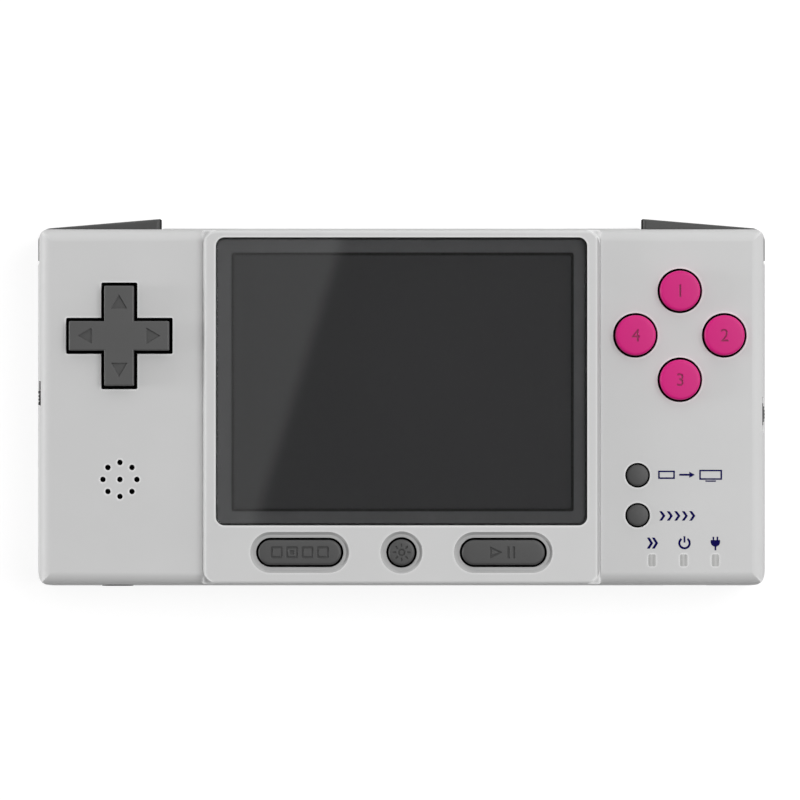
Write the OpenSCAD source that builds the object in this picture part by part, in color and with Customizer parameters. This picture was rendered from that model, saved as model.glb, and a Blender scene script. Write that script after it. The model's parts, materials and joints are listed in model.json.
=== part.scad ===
// Handheld game console lying on its back, in millimetres.
// X runs to the right, Y towards the trigger edge, Z out of the screen; Z = 0 is the rear face.

/* [Case] */
// overall width of the case
body_w = 131.6; // [129:0.2:136]
// height of the case from its bottom edge to its trigger edge
body_l = 64.6; // [63.8:0.2:67.4]
// depth of the wings from the rear face to the front face
wing_z = 17.6; // [17.2:0.1:18.6]
// rise of the middle block over the wings
block_rise = 1.8; // [1.6:0.1:2.4]
// width of each wing, from the case's side to the middle block
wing_w = 30.1; // [29.5:0.1:30.7]
// wall thickness of both shells
wall = 1.8; // [1.6:0.05:1.9]
// height of the parting plane over the rear face
part_z = 10.4; // [10:0.1:10.8]
// corner radius of the case in plan
corner_r = 3; // [3:0.1:3.6]
// rounding of the front edges
edge_r = 2.2; // [1.6:0.1:2.4]
// rounding of the rear edges
rear_r = 2; // [1.2:0.1:2.4]
// lean of the upper and lower wall between the parting plane and the front
lean = 0.3; // [0.2:0.05:0.6]
// lean of the left and right wall between the parting plane and the front
side_lean = 0.55; // [0.4:0.05:0.65]

/* [Screen] */
// distance of the clear cover from each side of the middle block
lens_side = 2.5; // [2.2:0.1:3.2]
// distance of the clear cover from the trigger edge
lens_head = 2; // [1.8:0.05:2.2]
// distance of the clear cover from the bottom edge
lens_foot = 11.2; // [10.8:0.05:11.6]
// thickness of the clear cover
lens_t = 1.1; // [0.9:0.05:1.2]
// corner radius of the clear cover
lens_r = 1.4; // [0.8:0.1:2]
// width of the printed border at each side
border_side = 2.4; // [2:0.1:3]
// width of the printed border at the upper and lower end
border_end = 2.5; // [2.2:0.1:3]
// thickness of the printed border
border_t = 0.15; // [0.1:0.05:0.2]

/* [Cross pad] */
// distance of the cross pad's centre from the left side
pad_in = 15; // [14.5:0.1:15.7]
// distance of the cross pad's centre from the trigger edge
pad_drop = 19.5; // [19:0.1:20]
// length of the cross pad from arm end to arm end
pad_span = 18; // [17.6:0.1:18.4]
// width of one arm
pad_arm = 5.3; // [5:0.1:5.8]
// height of the cross pad over the wing
pad_rise = 1.6; // [1.2:0.1:2]
// tilt of the cross pad to each side, in degrees
pad_tilt = 4; // [3:0.1:4]

/* [Buttons] */
// distance of the four round buttons' centre from the right side
face_in = 15.7; // [15.4:0.1:16.1]
// distance of the four round buttons' centre from the trigger edge
face_drop = 19.4; // [19:0.1:19.8]
// distance of each round button from their centre
face_pitch = 8; // [7.6:0.1:8.2]
// diameter of a round button
face_d = 7.25; // [6.6:0.05:7.4]
// height of a round button over the wing
face_rise = 1.4; // [1:0.1:1.8]
// distance of the two small buttons from the right side
small_in = 23.3; // [22.5:0.1:23.6]
// distance of the upper small button from the bottom edge
small_up = 20; // [19.4:0.1:20.6]
// distance between the two small buttons
small_pitch = 7.2; // [6.6:0.1:7.6]
// diameter of a small button
small_d = 3.85; // [3.4:0.05:4]
// height of a small button over the wing
small_rise = 0.5; // [0.3:0.1:0.8]
// length of a pill button
pill_w = 14.9; // [14:0.1:15.2]
// width of a pill button
pill_l = 4.5; // [4:0.1:4.6]
// distance of a pill button's centre from the clear cover's side
pill_in = 14.9; // [14.2:0.1:15.4]
// distance of the row of menu buttons from the bottom edge
menu_up = 6.15; // [6:0.05:6.4]
// diameter of the round menu button
bright_d = 4.7; // [4.2:0.1:4.8]
// height of the menu buttons over the floor of their dish
menu_rise = 0.65; // [0.4:0.05:0.9]
// press of every button
travel = 1; // [0.6:0.1:1]

/* [Triggers] */
// length of a trigger along the case, from the side
trigger_w = 22.2; // [21.4:0.1:22.6]
// height of a trigger's inner end over the case
trigger_rise = 1.65; // [1.4:0.05:2]
// depth of a trigger along Z
trigger_h = 10; // [9.4:0.1:10.2]
// wall thickness of a trigger
trigger_wall = 1.5; // [1.2:0.1:1.6]
// swing of a trigger, in degrees
trigger_swing = 5; // [4:0.1:5]
// radius of a trigger's pin
pin_r = 1; // [0.8:0.05:1.1]

/* [Edge controls and sockets] */
// radius of the volume wheel
wheel_r = 6; // [5.6:0.1:6.2]
// thickness of the volume wheel
wheel_t = 2; // [1.6:0.1:2.1]
// distance of the volume wheel's axis below the round buttons' centre
wheel_drop = 14.2; // [13.9:0.1:14.5]
// distance of the power knob's slot below the cross pad's centre
power_drop = 10.35; // [10:0.05:10.6]
// length of the power knob along the edge
power_l = 2.5; // [2.2:0.1:2.8]
// slide of the power knob
power_travel = 1.6; // [1.4:0.1:1.9]
// distance of both bottom sockets from the sides
socket_in = 14.5; // [14.2:0.1:15]
// bore radius of the sound and picture socket
jack_r = 1.8; // [1.75:0.01:1.85]
// width of the game card bay
bay_w = 59; // [58:0.2:59.6]

/* [Battery] */
// width of the battery
battery_w = 52; // [49:0.2:52.6]
// height of the battery
battery_l = 30; // [28:0.2:30.2]
// thickness of the battery
battery_t = 5.6; // [5:0.1:5.8]

/* [Clearances] */
// gap round the cross pad
pad_gap = 0.6; // [0.45:0.05:0.65]
// gap round the round and menu buttons
button_gap = 0.4; // [0.3:0.05:0.45]
// gap round the small buttons
small_gap = 0.3; // [0.25:0.05:0.35]
// gap between a sliding or turning face and its guide
slide_gap = 0.15; // [0.1:0.05:0.2]
// radial gap of a turning fit
turn_gap = 0.05; // [0.03:0.01:0.08]
// radial gap of a fixed pin or screw in its hole
seat_gap = 0.02; // [0.01:0.01:0.03]
// gap round the clear cover
lens_gap = 0.2; // [0.15:0.05:0.25]
// gap between two fixed pieces set side by side
fit_gap = 0.1; // [0.08:0.01:0.15]

/* [Hidden] */
$fn = 48;
eps = 0.01;
far = 200;

// middle block, clear cover and window
block_w = body_w - 2 * wing_w;
lens_w = block_w - 2 * lens_side;
lens_l = body_l - lens_head - lens_foot;
lens_y = (lens_foot - lens_head) / 2;
window_w = lens_w - 2 * border_side;
window_l = lens_l - 2 * border_end;

// places of the controls, from the middle of the case
pad_x = body_w / 2 - pad_in;
pad_y = body_l / 2 - pad_drop;
face_x = body_w / 2 - face_in;
face_y = body_l / 2 - face_drop;
small_x = body_w / 2 - small_in;
small_y = body_l / 2 - small_up;
pill_x = lens_w / 2 - pill_in;
menu_y = body_l / 2 - menu_up;
trigger_in = body_w / 2 - trigger_w;
wheel_y = wheel_drop - face_y;
power_y = pad_y - power_drop;
socket_x = body_w / 2 - socket_in;

// levels of the case
top_z = wing_z + block_rise;
wing_in = wing_z - wall;
block_in = top_z - wall - 0.2;
inner_w = body_w - 2 * wall - side_lean;
inner_l = body_l - 2 * wall - lean;
inner_r = 1.4;
wall_slope = lean / (wing_z - edge_r - part_z);
block_slope = 0.23;
block_edge = 0.6;
block_corner = 3;
crease_w = 0.3;
crease_d = 0.1;
block_low = wing_z - edge_r - 0.5;
lip_h = 0.8;
lip_t = 0.8;
lip_w = body_w - 2 * (wall - lip_t);
lip_l = body_l - 2 * (wall - lip_t);
lip_r = 2;

// levels of the stack between the wing and the board
board_t = 1.2;
stack = travel + 2.4;
board_top = wing_in - stack;
board_low = board_top - board_t;
board_margin = 1;
sheet_t = 0.7;
dome_h = travel + 0.5;
press_z = board_top + dome_h;
face_dome_r = 2.9;
menu_dome_r = 2.2;
side_dome_r = 1.9;
pad_dome_r = 2.4;
sheet_out = 1.3;
sheet_r = 1;
flange_t = 0.8;
flange_out = 0.9;
collar_t = 0.6;
collar_h = 1.2;

// screen stack
lens_drop = 0.15;
lens_top = top_z - lens_drop;
lens_low = lens_top - lens_t;
lens_seat = lens_low - border_t;
window_back = 0.5;
tray_side = 1.7;
tray_end = 1.4;
tray_w = window_w + 2 * tray_side;
tray_l = window_l + 2 * tray_end;
tray_wall = 0.8;
holder_side = 0.5;
holder_end = 0.3;
holder_rim = 3.5;
tray_low = board_top + 1.9;
tray_top = block_in - 0.7;
panel_low = tray_low + 1.2;
panel_top = block_in - 0.3;

// menu row
dish_d = 0.5;
dish_out = 1.05;
dish_floor_out = 0.55;
menu_top = top_z - dish_d + menu_rise;

// rounding of the round buttons' rims
face_rim = 0.45;

// cross pad
pad_pivot_z = press_z + 0.05;
pad_ball_r = 1.5;
pad_flange_r = pad_span / 2 + pad_gap + 0.75;
pad_mark_d = 0.25;
pad_corner = 0.2;
pad_edge = 0.25;
pad_hole_corner = 0.3;
pad_mark_w = 2.9;
pad_mark_l = 2.5;
pad_mark_in = 1.6;
pad_dome_in = 2.8;
pad_flange_t = wing_in - press_z - 1.42 * pad_flange_r * sin(pad_tilt) - 0.05;

// trigger, drawn for the right hand
trigger_top = wing_in - 1.75;
trigger_low = trigger_top - trigger_h;
trigger_corner = corner_r - 0.6;
trigger_side = body_w / 2 - 0.2;
corner_x = trigger_side - trigger_corner;
corner_y = body_l / 2 - trigger_corner;
trigger_slope = atan2(trigger_rise, corner_x - trigger_in);
trigger_edge = 0.6;
trigger_steps = 12;
edge_steps = 5;
trigger_web = 1.2;
pivot_x = body_w / 2 - 3.9;
pivot_y = body_l / 2 - 3.6;
trigger_tail = body_l / 2 - 5.9;
trigger_boss_r = 2;
notch_in = trigger_in - 0.6;
notch_low = trigger_tail - 0.5;
pin_boss_r = 2.2;
pin_low = wall + 0.6;
pin_top = wing_in - 0.4;
switch_x = trigger_in + 5;
switch_top = body_l / 2 - 7;
plunger_l = 0.5;
tang_low = switch_top + plunger_l + (pivot_x - switch_x) * sin(trigger_swing) + 0.06;
tang_z = board_low - 1.8;
spring_wire = 0.25;
spring_r = 1.9;
spring_turns = 4;
spring_pitch = 1.1;
spring_leg = 7;
spring_z = (trigger_low + trigger_top) / 2 - spring_turns * spring_pitch / 2;

// edge controls
wheel_z = board_top + 0.6;
edge_tip = body_w / 2 - 0.25;
thumb_x = body_w / 2 - 0.8;
thumb_l = 6.2;
wheel_x = edge_tip - wheel_r;
wheel_notches = 60;
wheel_notch_r = 0.22;
wheel_notch_out = 0.1;
axle_r = 1.3;
knob_h = 1.6;
knob_z = board_top + 0.7;
power_slot = power_l + power_travel + 2 * slide_gap;
power_body_l = power_slot + 2;

// bottom sockets
jack_z = part_z + 0.4;
jack_face = 5.6;
jack_face_r = 1.4;
jack_face_l = 3;
jack_body_w = 6.2;
jack_body_h = 5.6;
jack_end = body_l / 2 - 10.7;
jack_bore_l = 10;
usb_w = 7.7;
usb_h = 3.9;
usb_l = 9;
usb_wall = 0.35;

// battery bay
cover_t = 1.4;
cover_inset = 0.2;
cover_lap = 1.2;
ear_w = 5.6;
pocket_w = battery_w + 1.4;
pocket_l = battery_l + 1.2;
cover_w = pocket_w + 2 * ear_w;
cover_l = pocket_l + 2 * cover_lap;
battery_y = 3.3 + cover_l / 2 - body_l / 2;
pocket_top = cover_inset + cover_t + battery_t + 0.3;
pocket_wall = 1.2;
seat_t = 3.2;
ear_x = pocket_w / 2 + ear_w / 2;
contact_y = battery_y - 8.2;

// game card bay
bay_low = battery_y + cover_l / 2 + pocket_wall + 0.4;
bay_top = board_low - 0.3;
bay_wall = 1.2;
comb_l = 4.4;
comb_w = bay_w - 7;
comb_z = 3;
mouth_w = comb_w - 5;
mouth_z = 5.2;
mouth_h = 2.4;
mouth_l = 3.6;
pin_count = 32;

// pieces on the board
processor_w = 14;
processor_t = 1.2;
memory_x = 17;
memory_w = 8;
memory_l = 11;
memory_t = 1;
crystal_in = 12.5;
crystal_up = 9.35;
crystal_w = 8;
crystal_l = 3.4;
crystal_h = 1.6;
capacitor_r = 2;
capacitor_h = 4;
capacitor_out = 4;
capacitor_drop = 3;
flex_w = 24;
flex_t = 0.2;
connector_w = 28;
connector_l = 3.6;
connector_h = 1;
connector_drop = 7.2;

// speaker
speaker_in = 15.1;
speaker_up = 19.25;
speaker_x = speaker_in - body_w / 2;
speaker_y = speaker_up - body_l / 2;
speaker_r = 7.5;
speaker_h = 2.6;
speaker_rim = 1.1;
speaker_lip = 0.6;
magnet_r = 4;
magnet_h = 1.8;
gasket_t = 0.5;
speaker_top = wing_in - gasket_t;
speaker_low = speaker_top - speaker_h;
cone_z = speaker_top - 0.7;
grille_r = 3.06;
grille_d = 1;

// lamps
lamp_in = 15;
lamp_up = 4.7;
lamp_pitch = 5.7;
lamp_x = [for (i = [-1, 0, 1]) body_w / 2 - lamp_in + i * lamp_pitch];
lamp_y = lamp_up - body_l / 2;
lamp_w = 1.25;
lamp_l = 2.05;

// screws
boss_r = 2.6;
screw_r = 0.95;
head_r = 1.9;
head_t = 1.2;
head_seat = 4;
screw_top = wing_in - 1.8;
board_boss_r = 2;
board_screw_r = 0.8;
board_head_r = 1.5;
board_head_t = 0.8;
cover_head_t = 0.8;
cover_head_r = 1.6;
corner_screw_in = 4.5;
top_screw_in = 26.8;
top_screw_drop = 3.5;
mid_screw_out = 5.9;
mid_screw_gap = 2.5;
mid_screw_x = max(cover_w / 2 + mid_screw_out, block_w / 2 + mid_screw_gap);
mid_screw_y = -1;
case_screw_at = [for (s = [-1, 1]) each [
    [s * (body_w / 2 - corner_screw_in), corner_screw_in - body_l / 2],
    [s * (body_w / 2 - top_screw_in), body_l / 2 - top_screw_drop],
    [s * mid_screw_x, mid_screw_y]
]];
board_screw_in = 6.3;
board_screw_up = 10.9;
board_screw_out = 1.7;
board_screw_drop = 13.1;
board_screw_x = max(block_w / 2, bay_w / 2 + bay_wall) + board_screw_out;
board_screw_l = 2.4;
board_screw_at = [for (s = [-1, 1]) each [
    [s * (body_w / 2 - board_screw_in), board_screw_up - body_l / 2],
    [s * board_screw_x, body_l / 2 - board_screw_drop]
]];
face_at = [[0, 1], [-1, 0], [1, 0], [0, -1]];

// plan and profile shapes

module rounded_rect(w, l, r) {
    square([w - 2 * r, l], center = true);
    square([w, l - 2 * r], center = true);
    for (sx = [-1, 1], sy = [-1, 1])
        translate([sx * (w / 2 - r), sy * (l / 2 - r)])
            circle(r = r);
}

module pill_plan(w, l) {
    square([w - l, l], center = true);
    for (s = [-1, 1])
        translate([s * (w - l) / 2, 0])
            circle(d = l);
}

// leaning side view with rounded upper corners, standing on Y = 0
module soft_profile(w, h, edge, side_lean) {
    top = w / 2 - side_lean;
    polygon([
        [-w / 2, 0], [w / 2, 0], [top, h - edge], [top - edge, h], [edge - top, h], [-top, h - edge]
    ]);
    for (s = [-1, 1])
        intersection() {
            translate([s * (top - edge), h - edge])
                circle(r = edge);
            translate([s * (top - edge / 2), h - edge / 2])
                square(edge, center = true);
        }
}

// block with rounded plan corners and rounded upper edges
module soft_block(w, l, h, corner, edge, lean_x, lean_y) {
    intersection() {
        linear_extrude(h)
            rounded_rect(w, l, corner);
        translate([0, l / 2, 0])
            rotate([90, 0, 0])
                linear_extrude(l)
                    soft_profile(w, h, edge, lean_x);
        translate([-w / 2, 0, 0])
            rotate([90, 0, 90])
                linear_extrude(w)
                    soft_profile(l, h, edge, lean_y);
    }
}

// half of a button's section: flat top, rounded rim
module rim_profile(r, h, edge) {
    square([r - edge, h]);
    square([r, h - edge]);
    translate([r - edge, h - edge])
        circle(r = edge);
}

module round_cap(r, h, edge) {
    rotate_extrude()
        intersection() {
            rim_profile(r, h, edge);
            square([r + 1, h + 1]);
        }
}

module pill_cap(w, l, h, edge) {
    reach = (w - l) / 2;
    translate([-reach, 0, 0])
        rotate([90, 0, 90])
            linear_extrude(2 * reach)
                union() {
                    rim_profile(l / 2, h, edge);
                    mirror([1, 0])
                        rim_profile(l / 2, h, edge);
                }
    for (s = [-1, 1])
        translate([s * reach, 0, 0])
            rotate([0, 0, -90 * s])
                rotate_extrude(angle = 180)
                    rim_profile(l / 2, h, edge);
}

// dish with a sloping side, cut downwards from Z = 0
module pill_dish(w, l, depth, slope) {
    reach = (w - l) / 2;
    translate([0, 0, -depth]) {
        for (s = [-1, 1])
            translate([s * reach, 0, 0])
                cylinder(r1 = l / 2 - slope, r2 = l / 2 + eps, h = depth + eps);
        translate([-reach, 0, 0])
            rotate([90, 0, 90])
                linear_extrude(2 * reach)
                    polygon([
                        [slope - l / 2, 0], [l / 2 - slope, 0],
                        [l / 2 + eps, depth + eps], [-l / 2 - eps, depth + eps]
                    ]);
    }
}

module block_at(x0, x1, y0, y1, z0, z1) {
    translate([x0, y0, z0])
        cube([x1 - x0, y1 - y0, z1 - z0]);
}

module post(r, z0, z1) {
    translate([0, 0, z0])
        cylinder(r = r, h = z1 - z0);
}

module both_sides() {
    children();
    mirror([1, 0, 0])
        children();
}

// openings that both shells share

module trigger_notches() {
    both_sides()
        block_at(notch_in, far, notch_low, far, trigger_low - slide_gap, trigger_top + slide_gap);
}

module bay_cut() {
    block_at(-bay_w / 2, bay_w / 2, bay_low, far, wall, bay_top);
}

// square face of the jack with rounded corners, seen along Y
module jack_plan(grow) {
    rounded_rect(jack_face + 2 * grow, jack_face + 2 * grow, jack_face_r + grow);
}

module jack_cut() {
    translate([-socket_x, 0, jack_z])
        rotate([90, 0, 0])
            linear_extrude(far)
                jack_plan(fit_gap);
}

module usb_cut() {
    block_at(
        socket_x - usb_w / 2 - fit_gap, socket_x + usb_w / 2 + fit_gap, -far, 0,
        board_low - usb_h - fit_gap, board_low
    );
}

// case

// middle block: its sides continue the case walls, its upper corners are rounded in plan
module raised_block() {
    h = top_z - block_low;
    foot_w = block_w + 2 * block_slope * (wing_z - block_low);
    foot_l = body_l - 2 * wall_slope * (block_low - part_z);
    translate([0, 0, block_low])
        intersection() {
            soft_block(
                foot_w, foot_l, h, inner_r, block_edge,
                block_slope * (h - block_edge), wall_slope * (h - block_edge)
            );
            union() {
                linear_extrude(wing_z - block_low)
                    square([foot_w + 2, foot_l + 2], center = true);
                linear_extrude(h + 1)
                    rounded_rect(block_w, body_l - 2 * wall_slope * (wing_z - part_z), block_corner);
            }
        }
}

module front_hollow() {
    translate([0, 0, part_z - 1])
        linear_extrude(wing_in - part_z + 1)
            rounded_rect(inner_w, inner_l, inner_r);
    translate([0, 0, wing_in - 1])
        linear_extrude(block_in - wing_in + 1)
            rounded_rect(block_w - 2 * wall - 1.2, inner_l - 0.6, inner_r);
}

module front_bosses() {
    for (p = case_screw_at)
        translate(p)
            post(boss_r, part_z, wing_in + eps);
    for (p = board_screw_at)
        translate(p)
            post(board_boss_r, board_top, wing_in + eps);
    both_sides()
        translate([pivot_x, pivot_y])
            post(pin_boss_r, trigger_top + slide_gap, wing_in + eps);
    translate([speaker_x, speaker_y])
        collar(speaker_r + fit_gap);
    for (d = face_at)
        translate([face_x, face_y] + d * face_pitch)
            collar(face_d / 2 + flange_out + button_gap);
    for (i = [0, 1])
        translate([small_x, -small_y - i * small_pitch])
            collar(small_d / 2 + flange_out + small_gap);
}

// short guide tube under the wing
module collar(r) {
    difference() {
        post(r + collar_t, wing_in - collar_h, wing_in + eps);
        post(r, wing_in - collar_h - 1, wing_in + 1);
    }
}

module control_openings() {
    translate([-pad_x, pad_y, wing_in - 1])
        linear_extrude(far)
            union() {
                rounded_rect(pad_span + 2 * pad_gap, pad_arm + 2 * pad_gap, pad_hole_corner);
                rounded_rect(pad_arm + 2 * pad_gap, pad_span + 2 * pad_gap, pad_hole_corner);
            }
    for (d = face_at)
        translate([face_x, face_y, wing_in - 1] + [d[0], d[1], 0] * face_pitch)
            cylinder(d = face_d + 2 * button_gap, h = far);
    for (i = [0, 1])
        translate([small_x, -small_y - i * small_pitch, wing_in - 1])
            cylinder(d = small_d + 2 * small_gap, h = far);
    for (s = [-1, 1])
        translate([s * pill_x, -menu_y, block_in - 1])
            linear_extrude(far)
                pill_plan(pill_w + 2 * button_gap, pill_l + 2 * button_gap);
    translate([0, -menu_y, block_in - 1])
        cylinder(d = bright_d + 2 * button_gap, h = far);
}

module menu_dishes() {
    rim = 2 * button_gap + 2 * dish_out;
    slope = dish_out - dish_floor_out;
    for (s = [-1, 1])
        translate([s * pill_x, -menu_y, top_z])
            pill_dish(pill_w + rim, pill_l + rim, dish_d, slope);
    translate([0, -menu_y, top_z - dish_d])
        cylinder(
            r1 = (bright_d + rim) / 2 - slope, r2 = (bright_d + rim) / 2 + eps, h = dish_d + eps
        );
}

module screen_opening() {
    translate([0, lens_y, lens_seat])
        linear_extrude(far)
            rounded_rect(lens_w + 2 * lens_gap, lens_l + 2 * lens_gap, lens_r + lens_gap);
    translate([0, lens_y, block_in - 1])
        linear_extrude(far)
            rounded_rect(window_w + 2 * window_back, window_l + 2 * window_back, 0.6);
}

module grille_holes() {
    translate([speaker_x, speaker_y, wing_in - 1]) {
        cylinder(d = grille_d, h = far);
        for (i = [0:7])
            rotate([0, 0, 45 * i])
                translate([grille_r, 0, 0])
                    cylinder(d = grille_d, h = far);
    }
}

module edge_slots() {
    translate([wheel_x, -wheel_y, wheel_z - slide_gap])
        cylinder(r = wheel_r + 2 * slide_gap, h = wheel_t + 2 * slide_gap);
    block_at(
        -far, -inner_w / 2 + 1, power_y - power_slot / 2, power_y + power_slot / 2,
        knob_z - slide_gap, knob_z + knob_h + slide_gap
    );
    // thumb recesses that open both slots towards the front
    block_at(thumb_x, far, -wheel_y - thumb_l / 2, thumb_l / 2 - wheel_y, wheel_z - slide_gap, far);
    block_at(-far, -thumb_x, power_y - power_slot / 2, power_y + power_slot / 2, knob_z - slide_gap, far);
}

// fine groove along each foot of the middle block
module foot_creases() {
    both_sides()
        block_at(
            (block_w - crease_w) / 2, (block_w + crease_w) / 2, -far, far,
            wing_z - crease_d, wing_z + crease_d
        );
}

module front_openings() {
    control_openings();
    foot_creases();
    menu_dishes();
    screen_opening();
    grille_holes();
    edge_slots();
    trigger_notches();
    bay_cut();
    jack_cut();
    usb_cut();
    for (x = lamp_x)
        translate([x, lamp_y, wing_in - 1])
            linear_extrude(far)
                rounded_rect(lamp_w, lamp_l, 0.3);
    for (p = case_screw_at)
        translate(p)
            post(screw_r + seat_gap, part_z - 1, screw_top + 0.5);
    for (p = board_screw_at)
        translate(p)
            post(board_screw_r + seat_gap, board_top - 1, board_top + board_screw_l + 0.2);
    both_sides()
        translate([pivot_x, pivot_y])
            post(pin_r + seat_gap, trigger_top - 1, pin_top + 0.2);
    // groove for the rear shell's lip
    translate([0, 0, part_z - 1])
        linear_extrude(lip_h + fit_gap + 1)
            rounded_rect(lip_w + 2 * fit_gap, lip_l + 2 * fit_gap, lip_r);
}

module front_shell() {
    color("gainsboro")
        difference() {
            union() {
                difference() {
                    union() {
                        translate([0, 0, part_z])
                            soft_block(body_w, body_l, wing_z - part_z, corner_r, edge_r, side_lean, lean);
                        raised_block();
                    }
                    front_hollow();
                }
                front_bosses();
            }
            front_openings();
        }
}

module rear_bosses() {
    for (p = case_screw_at)
        translate(p)
            post(boss_r, wall - eps, part_z);
    both_sides() {
        translate([pivot_x, pivot_y])
            post(pin_boss_r, wall - eps, trigger_low - slide_gap);
        translate([pivot_x - spring_leg + 0.4, notch_low - 0.6])
            post(0.8, wall - eps, spring_z + 1.2);
    }
    // seat and box of the battery
    translate([0, battery_y, 0]) {
        translate([0, 0, eps])
            linear_extrude(seat_t)
                rounded_rect(cover_w + 2 * pocket_wall, cover_l + 2 * pocket_wall, 2);
        translate([0, 0, eps])
            linear_extrude(pocket_top + pocket_wall)
                rounded_rect(pocket_w + 2 * pocket_wall, pocket_l + 2 * pocket_wall, 1);
        for (s = [-1, 1])
            translate([s * ear_x, 0])
                post(2.2, 1, pocket_top);
    }
    // side walls of the game card bay
    for (s = [-1, 1])
        translate([s * (bay_w / 2 + bay_wall / 2), (bay_low + inner_l / 2) / 2, wall - eps])
            linear_extrude(bay_top - wall)
                square([bay_wall, inner_l / 2 - bay_low + 0.2], center = true);
}

module battery_cut() {
    translate([0, battery_y, -1]) {
        linear_extrude(cover_inset + cover_t + 1)
            rounded_rect(cover_w + 2 * slide_gap, cover_l + 2 * slide_gap, 1.2);
        linear_extrude(pocket_top + 1)
            rounded_rect(pocket_w, pocket_l, 0.8);
        for (s = [-1, 1])
            translate([s * ear_x, 0])
                cylinder(r = screw_r + 2 * slide_gap, h = pocket_top);
    }
    // way in for the battery's contacts
    block_at(
        pocket_w / 2 - 0.5, pocket_w / 2 + 5, contact_y - 4.3, contact_y + 4.3,
        seat_t + 0.4, pocket_top + pocket_wall + 1
    );
}

module rear_shell() {
    color("gainsboro")
        difference() {
            union() {
                difference() {
                    translate([0, 0, part_z])
                        mirror([0, 0, 1])
                            soft_block(body_w, body_l, part_z, corner_r, rear_r, 0, 0);
                    translate([0, 0, wall])
                        linear_extrude(far)
                            rounded_rect(inner_w, inner_l, inner_r);
                }
                // lip that locates the front shell
                translate([0, 0, part_z - 1])
                    linear_extrude(lip_h + 1)
                        difference() {
                            rounded_rect(lip_w, lip_l, lip_r);
                            rounded_rect(inner_w, inner_l, inner_r);
                        }
                rear_bosses();
            }
            battery_cut();
            trigger_notches();
            bay_cut();
            jack_cut();
            usb_cut();
            for (p = case_screw_at)
                translate(p) {
                    post(screw_r + slide_gap, -1, part_z + 1);
                    post(head_r + slide_gap, -1, head_seat);
                }
            both_sides()
                translate([pivot_x, pivot_y])
                    post(pin_r + seat_gap, pin_low - 0.2, trigger_low);
        }
}

module battery_cover() {
    color("gainsboro")
        translate([0, battery_y, cover_inset])
            difference() {
                linear_extrude(cover_t)
                    rounded_rect(cover_w, cover_l, 1.2 - slide_gap);
                for (s = [-1, 1])
                    translate([s * ear_x, 0]) {
                        post(screw_r + seat_gap, -1, cover_t + 1);
                        post(cover_head_r + fit_gap, -1, cover_head_t);
                    }
                // finger ridges
                for (i = [0:5])
                    translate([0, -cover_l / 2 + 3 + 1.2 * i, -1])
                        linear_extrude(1.3)
                            pill_plan(16, 0.6);
            }
}

module screen_lens() {
    color("lightsteelblue", 0.4)
        translate([0, lens_y, lens_low])
            linear_extrude(lens_t)
                rounded_rect(lens_w, lens_l, lens_r);
}

module lens_border() {
    color("dimgray")
        translate([0, lens_y, lens_seat])
            linear_extrude(border_t)
                difference() {
                    rounded_rect(lens_w - 0.2, lens_l - 0.2, lens_r - 0.1);
                    square([window_w, window_l], center = true);
                }
}

module led_windows() {
    color("white")
        for (x = lamp_x)
            translate([x, lamp_y, 0]) {
                translate([0, 0, board_top + 1.2])
                    linear_extrude(wing_z - board_top - 1.2)
                        rounded_rect(lamp_w - fit_gap, lamp_l - fit_gap, 0.3 - fit_gap / 2);
                translate([0, 0, wing_in - flange_t])
                    linear_extrude(flange_t)
                        square([lamp_w + 1.2, lamp_l + 1.2], center = true);
            }
}

// controls

module pad_mark() {
    tip = pad_span / 2 - pad_mark_in;
    linear_extrude(1)
        polygon([[-pad_mark_w / 2, tip - pad_mark_l], [pad_mark_w / 2, tip - pad_mark_l], [0, tip]]);
}

module dpad() {
    cap_h = wing_z + pad_rise - press_z;
    color("dimgray")
        translate([-pad_x, pad_y, press_z])
            difference() {
                union() {
                    cylinder(r = pad_flange_r, h = pad_flange_t);
                    soft_block(pad_span, pad_arm, cap_h, pad_corner, pad_edge, 0, 0);
                    soft_block(pad_arm, pad_span, cap_h, pad_corner, pad_edge, 0, 0);
                }
                for (i = [0:3])
                    rotate([0, 0, 90 * i])
                        translate([0, 0, cap_h - pad_mark_d])
                            pad_mark();
                translate([0, 0, pad_pivot_z - press_z])
                    sphere(r = pad_ball_r + 0.2);
            }
}

module dpad_pivot() {
    color("silver")
        translate([-pad_x, pad_y, pad_pivot_z])
            sphere(r = pad_ball_r);
}

module face_button(d) {
    color("mediumvioletred")
        translate([face_x, face_y, 0] + [d[0], d[1], 0] * face_pitch) {
            translate([0, 0, wing_in - fit_gap - flange_t])
                round_cap(face_d / 2, wing_z + face_rise - wing_in + fit_gap + flange_t, face_rim);
            translate([0, 0, wing_in - fit_gap - flange_t])
                cylinder(r = face_d / 2 + flange_out, h = flange_t);
            translate([0, 0, press_z])
                cylinder(r = 2.4, h = wing_in - press_z - flange_t);
        }
}

module face_button_top() {
    face_button(face_at[0]);
}

module face_button_left() {
    face_button(face_at[1]);
}

module face_button_right() {
    face_button(face_at[2]);
}

module face_button_bottom() {
    face_button(face_at[3]);
}

module pill_button(side) {
    color("dimgray")
        translate([side * pill_x, -menu_y, 0]) {
            translate([0, 0, block_in - fit_gap - flange_t])
                pill_cap(pill_w, pill_l, menu_top - block_in + fit_gap + flange_t, 0.4);
            translate([0, 0, block_in - fit_gap - flange_t])
                linear_extrude(flange_t)
                    pill_plan(pill_w + 2 * flange_out, pill_l + 2 * flange_out);
            translate([0, 0, press_z])
                cylinder(r = 1.8, h = block_in - press_z - flange_t);
        }
}

module select_button() {
    pill_button(-1);
}

module start_button() {
    pill_button(1);
}

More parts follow.
